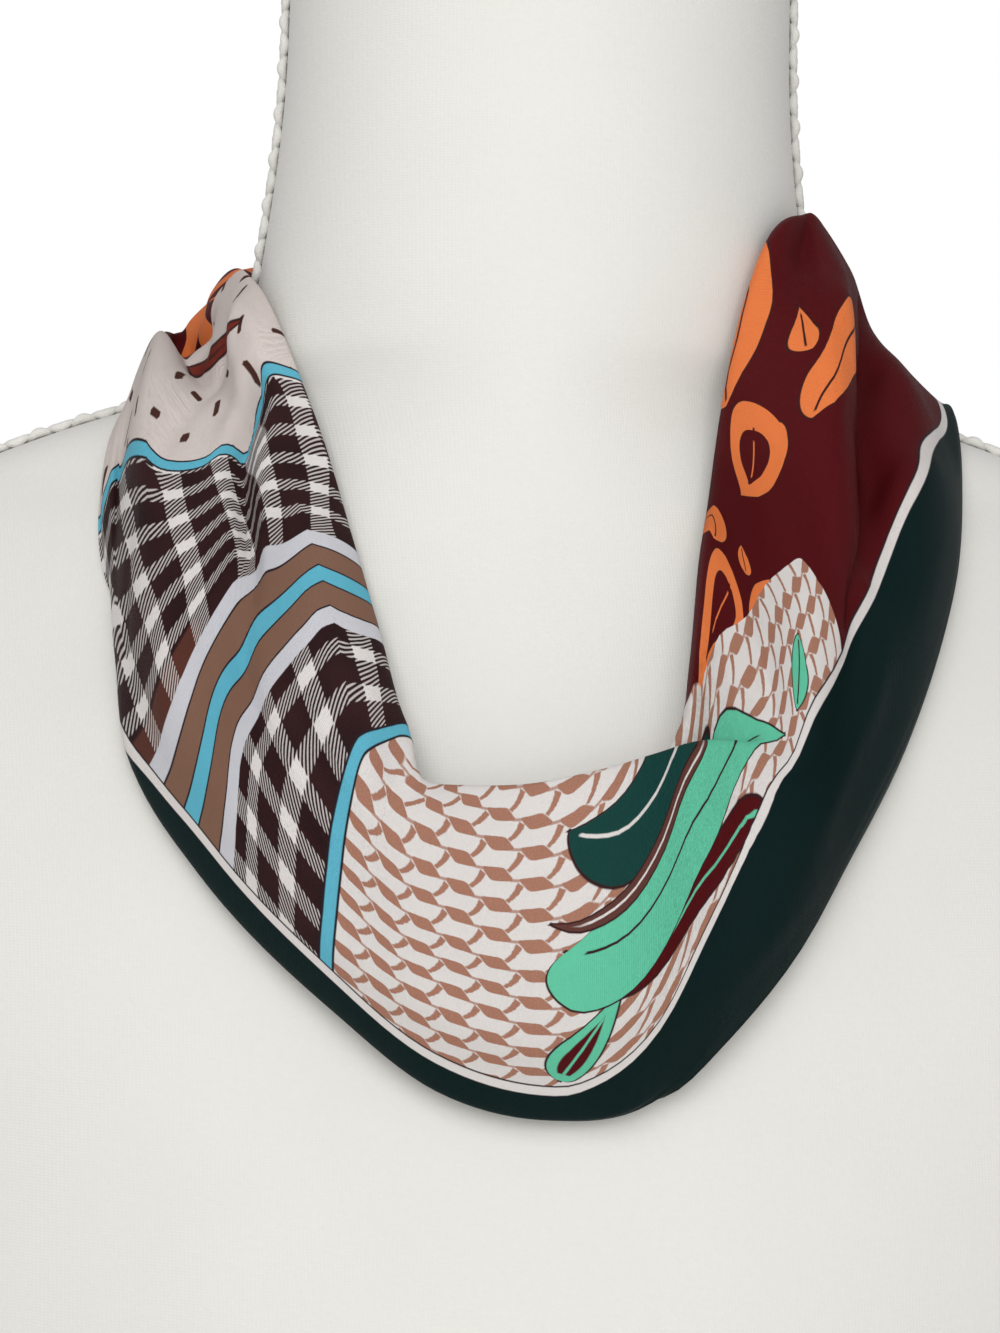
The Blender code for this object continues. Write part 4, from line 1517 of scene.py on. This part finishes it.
@dataclass
class ScarfStrip:
    """The scarf: one long strip of printed satin, folded lengthwise and joined behind the neck.

    Attributes:
        shape: The strip's middle surface.
        finish: Its print.
        thickness: Thickness of the two plies of satin together.
        front: Turns between which the folds show.
        front_step: Turn from one column to the next there.
        back_step: The same behind the neck.
        lap: Turn over which one end lies on the other.
        lap_from: Turn at which that end starts to rise over the other.
        lap_climb: Turn over which it rises.
        lap_gap: Distance between the two ends.
        round_length: Centimetres of cloth in a degree of turn.
    """

    shape: StripShape
    finish: ScarfPrint
    thickness: float = 0.06
    front: tuple[float, float] = (-120.0, 105.0)
    front_step: float = 1.0
    back_step: float = 2.5
    lap: float = 4.0
    lap_from: float = 178.0
    lap_climb: float = 3.0
    lap_gap: float = 0.04
    round_length: float = 0.16

    def turns(self) -> np.ndarray:
        """Return the turn of each column, from one end of the strip to the other."""
        start, end = self.front
        return np.concatenate([np.arange(-180.0, start, self.back_step),
                               np.arange(start, end, self.front_step),
                               np.arange(end, 180.0 + self.lap + 0.01, self.back_step)])

    @staticmethod
    def level_rows(rows: list[int]) -> tuple[int, ...]:
        """Find the fine rows at which a line of the print has its columns.

        Args:
            rows: The fine row of each corner.

        Returns:
            The rows, from the inner edge to the hem.
        """
        found = {corner: rows[corner] for corner in Corner}
        wall = (found[Corner.INNER_FOLD] + 2 * found[Corner.TUCK]) // 3
        slope = (found[Corner.GROOVE] + found[Corner.RIDGE]) // 2
        return tuple(sorted([*found.values(), wall, slope]))

    def creased(self, middle: np.ndarray, rise: np.ndarray) -> np.ndarray:
        """Press the creases into the middle surface.

        Args:
            middle: The middle surface, column by row.
            rise: Distance of its points up the cloth from the turned hem.

        Returns:
            The creased surface.
        """
        turn = turn_and_reach(middle)[0]
        lift = sum(crease.lift(turn, rise, self.round_length) for crease in CREASES)
        return middle + self.normals(middle) * lift[..., None]

    @staticmethod
    def normals(middle: np.ndarray) -> np.ndarray:
        """Return the normals on the printed side of a grid, column by row."""
        return unit(np.cross(np.gradient(middle, axis=1), np.gradient(middle, axis=0)))

    def shell(self, middle: np.ndarray, normal: np.ndarray) -> tuple[np.ndarray, list[tuple[int, ...]]]:
        """Close a thin shell round the middle surface.

        Args:
            middle: The middle surface, column by row.
            normal: Its normals.

        Returns:
            The shell's points and faces.
        """
        half = self.thickness / 2
        columns, count = middle.shape[:2]
        points = np.concatenate([(middle + normal * side).reshape(-1, 3) for side in (half, -half)])
        faces = grid_faces(columns, count)
        total = columns * count
        faces = faces + [tuple(total + v for v in reversed(face)) for face in faces]
        rim = [i * count for i in range(columns)]
        rim += [(columns - 1) * count + j for j in range(1, count)]
        rim += [i * count + count - 1 for i in range(columns - 2, -1, -1)]
        rim += list(range(count - 2, 0, -1))
        faces += [(b, a, total + a, total + b) for a, b in zip(rim, rim[1:] + rim[:1])]
        return points, faces

    def build(self) -> bpy.types.Object:
        """Make the strip as a thin shell on its solids' form.

        Returns:
            The strip.
        """
        turns = self.turns()
        rows = [0] + np.cumsum(self.shape.spans()).tolist()
        middle = self.shape.surface(turns)
        steps = np.linalg.norm(np.diff(middle, axis=1), axis=2)
        length = np.concatenate([np.zeros((len(turns), 1)), np.cumsum(steps, axis=1)], axis=1)
        rise = length[:, [rows[Corner.HEM_TURN]]] - length
        middle = self.shape.settle_outside(self.creased(middle, rise))
        normal = self.normals(middle)
        over = np.clip((turns - self.lap_from) / self.lap_climb, 0.0, 1.0)
        middle = middle + normal * (over * (self.thickness + self.lap_gap))[:, None, None]
        strip = make_piece("printed_scarf_strip", *self.shell(middle, normal), self.finish.made())
        layout = PrintLayout(self.level_rows(rows))
        own = turn_and_reach(middle)[0]
        own += 360.0 * np.round((turns[:, None] - own) / 360.0)
        for name, parts in (("print_place", (layout.along(own, length), *layout.across(own, rise))),
                            ("cloth_place", (own * self.round_length, rise, np.zeros_like(rise)))):
            place = np.stack(parts, axis=-1).reshape(-1, 3)
            store = strip.data.attributes.new(name, "FLOAT_VECTOR", "POINT")
            store.data.foreach_set("vector", np.concatenate([place, place]).astype(np.float32).ravel())
        edges = np.linalg.norm(np.diff(middle, axis=0), axis=2).sum(axis=0) * CM
        width = float(length[:, -1].mean()) * CM
        log.info("strip: %d columns, %d rows, %.3f m at the fold, %.3f m at the hem, %.3f m wide",
                 *middle.shape[:2], edges[rows[Corner.TOP_FOLD]], edges[-1], width)
        return strip


@dataclass(frozen=True)
class JerseyCover:
    """Fine off-white jersey over the bust.

    Attributes:
        colour: The yarn's lighter tone.
        shade: Its darker tone.
        stitch: Width of a stitch, metres.
        stitch_height: Its height, as a share of that.
        diagonal: How much the wales turn towards the bust's sides.
        clouds: How fine the changes of tone are.
        fluff: How fine the yarn's fluff is.
        depth: Depth of the knit, metres.
    """

    colour: tuple[int, int, int] = (224, 223, 218)
    shade: tuple[int, int, int] = (212, 211, 206)
    stitch: float = 0.0007
    stitch_height: float = 0.8
    diagonal: float = 0.35
    clouds: float = 26.0
    fluff: float = 900.0
    depth: float = 0.00009

    def made(self) -> bpy.types.Material:
        """Build the finish.

        Returns:
            The material.
        """
        g = Graph("cover_jersey_knit")
        at = g.place()
        x, y, z = g.parts(at)
        wale = ((x + y * self.diagonal) * (2 * math.pi / self.stitch)).sine()
        course = (z * (2 * math.pi / (self.stitch * self.stitch_height)) + wale * 0.6).sine()
        knit = (wale + course) * 0.25 + 0.5
        cloud = g.noise(at, self.clouds, 3.0)
        fluff = g.noise(at, self.fluff)
        g.feed(g.shader.inputs["Base Color"],
               g.mixed(cloud * 0.5 + fluff * 0.3, linear(*self.shade), linear(*self.colour)))
        g.set(Roughness=0.92, Sheen_Weight=0.18, Sheen_Roughness=0.6, Specular_IOR_Level=0.2)
        g.raise_surface(knit * 0.3 + fluff * 0.6, self.depth)
        return g.material


@dataclass
class CoveredBust:
    """The limbless display bust under its jersey cover.

    Attributes:
        shape: Its rings.
        finish: Its cover.
        segments: Points round each ring.
        levels: Rings, evenly spaced down the side seam.
        rounding_step: Turn from ring to ring round the top and bottom edges, degrees.
        sharp_angle: Angle beyond which an edge stays sharp, degrees.
    """

    shape: BustShape
    finish: JerseyCover
    segments: int = 144
    levels: int = 190
    rounding_step: float = 15.0
    sharp_angle: float = 40.0

    def build(self) -> bpy.types.Object:
        """Make the bust from its neck's flat top to its flat underside.

        Returns:
            The bust.
        """
        edge = self.shape.edge_round
        rounding = [(edge * (1 - math.cos(a)), edge * (1 - math.sin(a)))
                    for a in np.radians(np.arange(0.0, 85.0, self.rounding_step))]
        level = np.array([(self.shape.top - down, inset) for down, inset in rounding]
                         + [(height, 0.0) for height in self.shape.side_line(self.levels)[:, 2]]
                         + [(self.shape.floor + up, inset) for up, inset in reversed(rounding)])
        half_width, front, back, shoulder = self.shape.sizes(level[:, 0])
        a = 2 * math.pi * np.arange(self.segments) / self.segments
        ahead = np.cos(a) > 0
        lean = np.where(ahead, a, math.pi - a)[:, None]
        inset = level[:, 1]
        depth = self.shape.depth(np.where(ahead[:, None], front, back) - inset, shoulder - inset, lean)
        points = np.stack([(half_width - inset) * np.sin(a)[:, None],
                           np.where(ahead[:, None], -depth, depth),
                           np.broadcast_to(level[:, 0], depth.shape)], axis=-1)
        count = len(level)
        faces = grid_faces(self.segments, count, closed=True) + end_faces(self.segments, count)
        bust = make_piece("covered_bust", points.reshape(-1, 3), faces, self.finish.made())
        bust.data.set_sharp_from_angle(angle=math.radians(self.sharp_angle))
        log.info("bust: %d rings of %d points", count, self.segments)
        return bust


@dataclass(frozen=True)
class BraidYarn:
    """Soft off-white cotton yarn of the seam braids.

    Attributes:
        colour: Its lighter tone.
        shade: Its darker tone.
        clouds: How fine the changes of tone are.
        fluff: How fine its fluff is.
        depth: Depth of its fluff, metres.
    """

    colour: tuple[int, int, int] = (232, 231, 226)
    shade: tuple[int, int, int] = (210, 208, 202)
    clouds: float = 120.0
    fluff: float = 2600.0
    depth: float = 0.0002

    def made(self) -> bpy.types.Material:
        """Build the finish.

        Returns:
            The material.
        """
        g = Graph("seam_braid_yarn")
        at = g.place()
        g.feed(g.shader.inputs["Base Color"],
               g.mixed(g.noise(at, self.clouds), linear(*self.shade), linear(*self.colour)))
        g.set(Roughness=0.85, Sheen_Weight=0.25, Sheen_Roughness=0.5, Specular_IOR_Level=0.25)
        g.raise_surface(g.noise(at, self.fluff, 3.0), self.depth)
        return g.material


@dataclass
class SeamBraid:
    """A crocheted chain that covers one side seam of the bust.

    Attributes:
        name: The piece's name.
        side: -1 for the viewer's left, 1 for the right.
        shape: The bust.
        loop: Length of one chain loop.
        half_width: Half the chain's width.
        yarn: Radius of its yarn.
        gap: Height of its underside above the seam.
        crossing: How far the two yarns part where they cross.
        skew: How far a loop leans along the chain.
        plumpness: Least thickness of the yarn and what a loop's middle adds, as shares of its radius.
        flatness: How much wider than high the yarn lies.
        sides: Points round the yarn.
        loop_points: Points along each loop.
        seam_samples: Points at which the seam is read.
    """

    name: str
    side: float
    shape: BustShape
    loop: float = 0.5
    half_width: float = 0.15
    yarn: float = 0.095
    gap: float = 0.01
    crossing: float = 0.022
    skew: float = 0.35
    plumpness: tuple[float, float] = (0.78, 0.34)
    flatness: float = 1.15
    sides: int = 8
    loop_points: int = 16
    seam_samples: int = 1200

    def strand(self, middle: np.ndarray, out: np.ndarray, phase: np.ndarray, lift: float) -> np.ndarray:
        """Lay one yarn of the chain along the seam.

        Args:
            middle: Points on the seam.
            out: Which way is away from the bust at each of them.
            phase: How far round its loops the yarn is there.
            lift: Height of the yarn where it crosses over the other, less than 0 where it goes under.

        Returns:
            Its points, one run along the yarn after another.
        """
        across = np.array([0.0, 1.0, 0.0])
        swing = np.sin(phase + self.skew * np.sin(2 * phase)) * self.half_width
        height = np.cos(2 * phase) * lift + self.yarn + self.gap
        plump = self.yarn * (self.plumpness[0] + self.plumpness[1] * np.sin(phase) ** 2)
        centre = middle + across * swing[:, None] + out * height[:, None]
        along = unit(np.gradient(centre, axis=0))
        side = unit(np.cross(along, out))
        up = np.cross(side, along)
        round_yarn = [2 * math.pi * k / self.sides for k in range(self.sides)]
        return np.concatenate([
            centre + (side * math.cos(a) * self.flatness + up * math.sin(a)) * plump[:, None]
            for a in round_yarn])

    def build(self, material: bpy.types.Material) -> bpy.types.Object:
        """Make the chain as two yarns that cross from loop to loop.

        Args:
            material: The yarn's finish.

        Returns:
            The braid.
        """
        line = self.shape.side_line(self.seam_samples) * [self.side, 1.0, 1.0]
        length = distances(line)[-1]
        loops = int(length / self.loop)
        count = loops * self.loop_points + 1
        middle = evenly_spaced(line, count)
        run = unit(np.gradient(middle, axis=0))
        out = unit(np.cross([0.0, 1.0, 0.0], run) * -self.side)
        phase = np.linspace(0.0, length, count) / self.loop * math.pi
        points, faces = [], []
        for strand, lift in enumerate((-self.crossing, self.crossing)):
            first = strand * self.sides * count
            points.append(self.strand(middle, out, phase + strand * math.pi, lift))
            faces += grid_faces(self.sides, count, closed=True, first=first)
            faces += end_faces(self.sides, count, first)
        braid = make_piece(self.name, np.concatenate(points), faces, material)
        log.info("%s: %d loops of %.1f mm", self.name, loops, self.loop * 10)
        return braid


@dataclass(frozen=True)
class Lamp:
    """One soft square lamp.

    Attributes:
        name: Its name.
        place: Where it stands, metres.
        size: Length of its side, metres.
        power: Its power, watts.
        aim: The point it looks at.
    """

    name: str
    place: tuple[float, float, float]
    size: float
    power: float
    aim: tuple[float, float, float] = (0.0, 0.0, 0.18)

    def build(self) -> None:
        """Hang the lamp."""
        data = bpy.data.lights.new(self.name, "AREA")
        data.size, data.energy = self.size, self.power
        lamp = bpy.data.objects.new(self.name, data)
        lamp.location = self.place
        lamp.rotation_euler = (Vector(self.aim) - Vector(self.place)).to_track_quat("-Z", "Y").to_euler()
        bpy.context.scene.collection.objects.link(lamp)


@dataclass(frozen=True)
class Studio:
    """Pale floor, white surroundings, soft lamps and the camera.

    Attributes:
        floor_size: Width of the round floor, metres.
        floor_tones: Its two tones.
        floor_gap: Distance of the floor under the bust, centimetres.
        floor_step: Turn from one point of its rim to the next, degrees.
        surroundings: Strength of the light from all round.
        lamps: The lamps.
        camera_place: Where the camera stands, metres.
        camera_roll: How far it is rolled, degrees.
        lens: Its focal length, millimetres.
        sensor: Width of its sensor, millimetres.
        clip: Nearest and farthest distance that it sees, metres.
    """

    floor_size: float = 3.0
    floor_tones: tuple[tuple[int, int, int], ...] = ((232, 231, 228), (238, 237, 235))
    floor_gap: float = 0.05
    floor_step: int = 5
    surroundings: float = 0.44
    lamps: tuple[Lamp, ...] = (Lamp("key_lamp", (-0.2, -0.98, 0.72), 0.7, 5.0),
                               Lamp("front_lamp", (0.15, -1.1, 0.3), 0.9, 4.8))
    camera_place: tuple[float, float, float] = (-0.0049, -0.60, 0.1910)
    camera_roll: float = 1.5
    lens: float = 99.36
    sensor: float = 36.0
    clip: tuple[float, float] = (0.05, 20.0)

    def floor(self) -> None:
        """Lay the plain pale floor."""
        g = Graph("studio_floor")
        tones = [linear(*tone) for tone in self.floor_tones]
        g.feed(g.shader.inputs["Base Color"], g.mixed(g.noise(g.place(), 3.0), *tones))
        g.set(Roughness=0.8)
        half = self.floor_size / 2 / CM
        ring = np.array([(math.cos(a) * half, math.sin(a) * half, -NECK_LEVEL - self.floor_gap)
                         for a in np.radians(np.arange(0, 360, self.floor_step))])
        floor = make_piece("studio_floor", ring, [tuple(range(len(ring)))], g.material)

    def world(self) -> bpy.types.World:
        """Make surroundings that light softly and look white.

        Returns:
            The world.
        """
        world = bpy.data.worlds.new("soft_studio")
        world.use_nodes = True
        tree = world.node_tree
        white = tree.nodes["Background"]
        white.inputs[0].default_value = (1.0, 1.0, 1.0, 1.0)
        seen = tree.nodes.new("ShaderNodeLightPath").outputs["Is Camera Ray"]
        strength = tree.nodes.new("ShaderNodeMapRange")
        strength.inputs["To Min"].default_value = self.surroundings
        strength.inputs["To Max"].default_value = 1.0
        tree.links.new(seen, strength.inputs["Value"])
        tree.links.new(strength.outputs[0], white.inputs[1])
        return world

    def camera(self) -> bpy.types.Object:
        """Set up the camera, level and in front of the bust.

        Returns:
            The camera.
        """
        data = bpy.data.cameras.new("camera")
        data.sensor_fit, data.sensor_width, data.lens = "HORIZONTAL", self.sensor, self.lens
        data.clip_start, data.clip_end = self.clip
        camera = bpy.data.objects.new("camera", data)
        camera.rotation_mode = "XYZ"
        camera.matrix_world = (Matrix.Translation(self.camera_place) @ Matrix.Rotation(math.pi / 2, 4, "X")
                               @ Matrix.Rotation(math.radians(self.camera_roll), 4, "Z"))
        return camera

    def build(self) -> None:
        """Set up surroundings, floor, lamps and camera."""
        scene = bpy.context.scene
        scene.world = self.world()
        scene.view_settings.view_transform = "Standard"
        self.floor()
        for lamp in self.lamps:
            lamp.build()
        scene.camera = self.camera()
        scene.collection.objects.link(scene.camera)


def main() -> None:
    """Build the bust, its braids, the scarf and the studio."""
    logging.basicConfig(level=logging.INFO, format="%(name)s: %(message)s")
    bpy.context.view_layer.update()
    shape = BustShape()
    bust = CoveredBust(shape, JerseyCover()).build()
    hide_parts("bust_form")
    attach(bust, "root")
    yarn = BraidYarn().made()
    for name, node, side in (("chain_braid_left", "seam_braid_left", -1.0),
                             ("chain_braid_right", "seam_braid_right", 1.0)):
        braid = SeamBraid(name, side, shape).build(yarn)
        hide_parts(node)
        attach(braid, "root")
    strip = ScarfStrip(StripShape(shape), ScarfPrint()).build()
    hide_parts("scarf_left_stretch", "scarf_front_drape", "scarf_right_stretch",
                "scarf_back_stretch")
    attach(strip, "root")
    Studio().build()


if __name__ == "__main__":
    main()
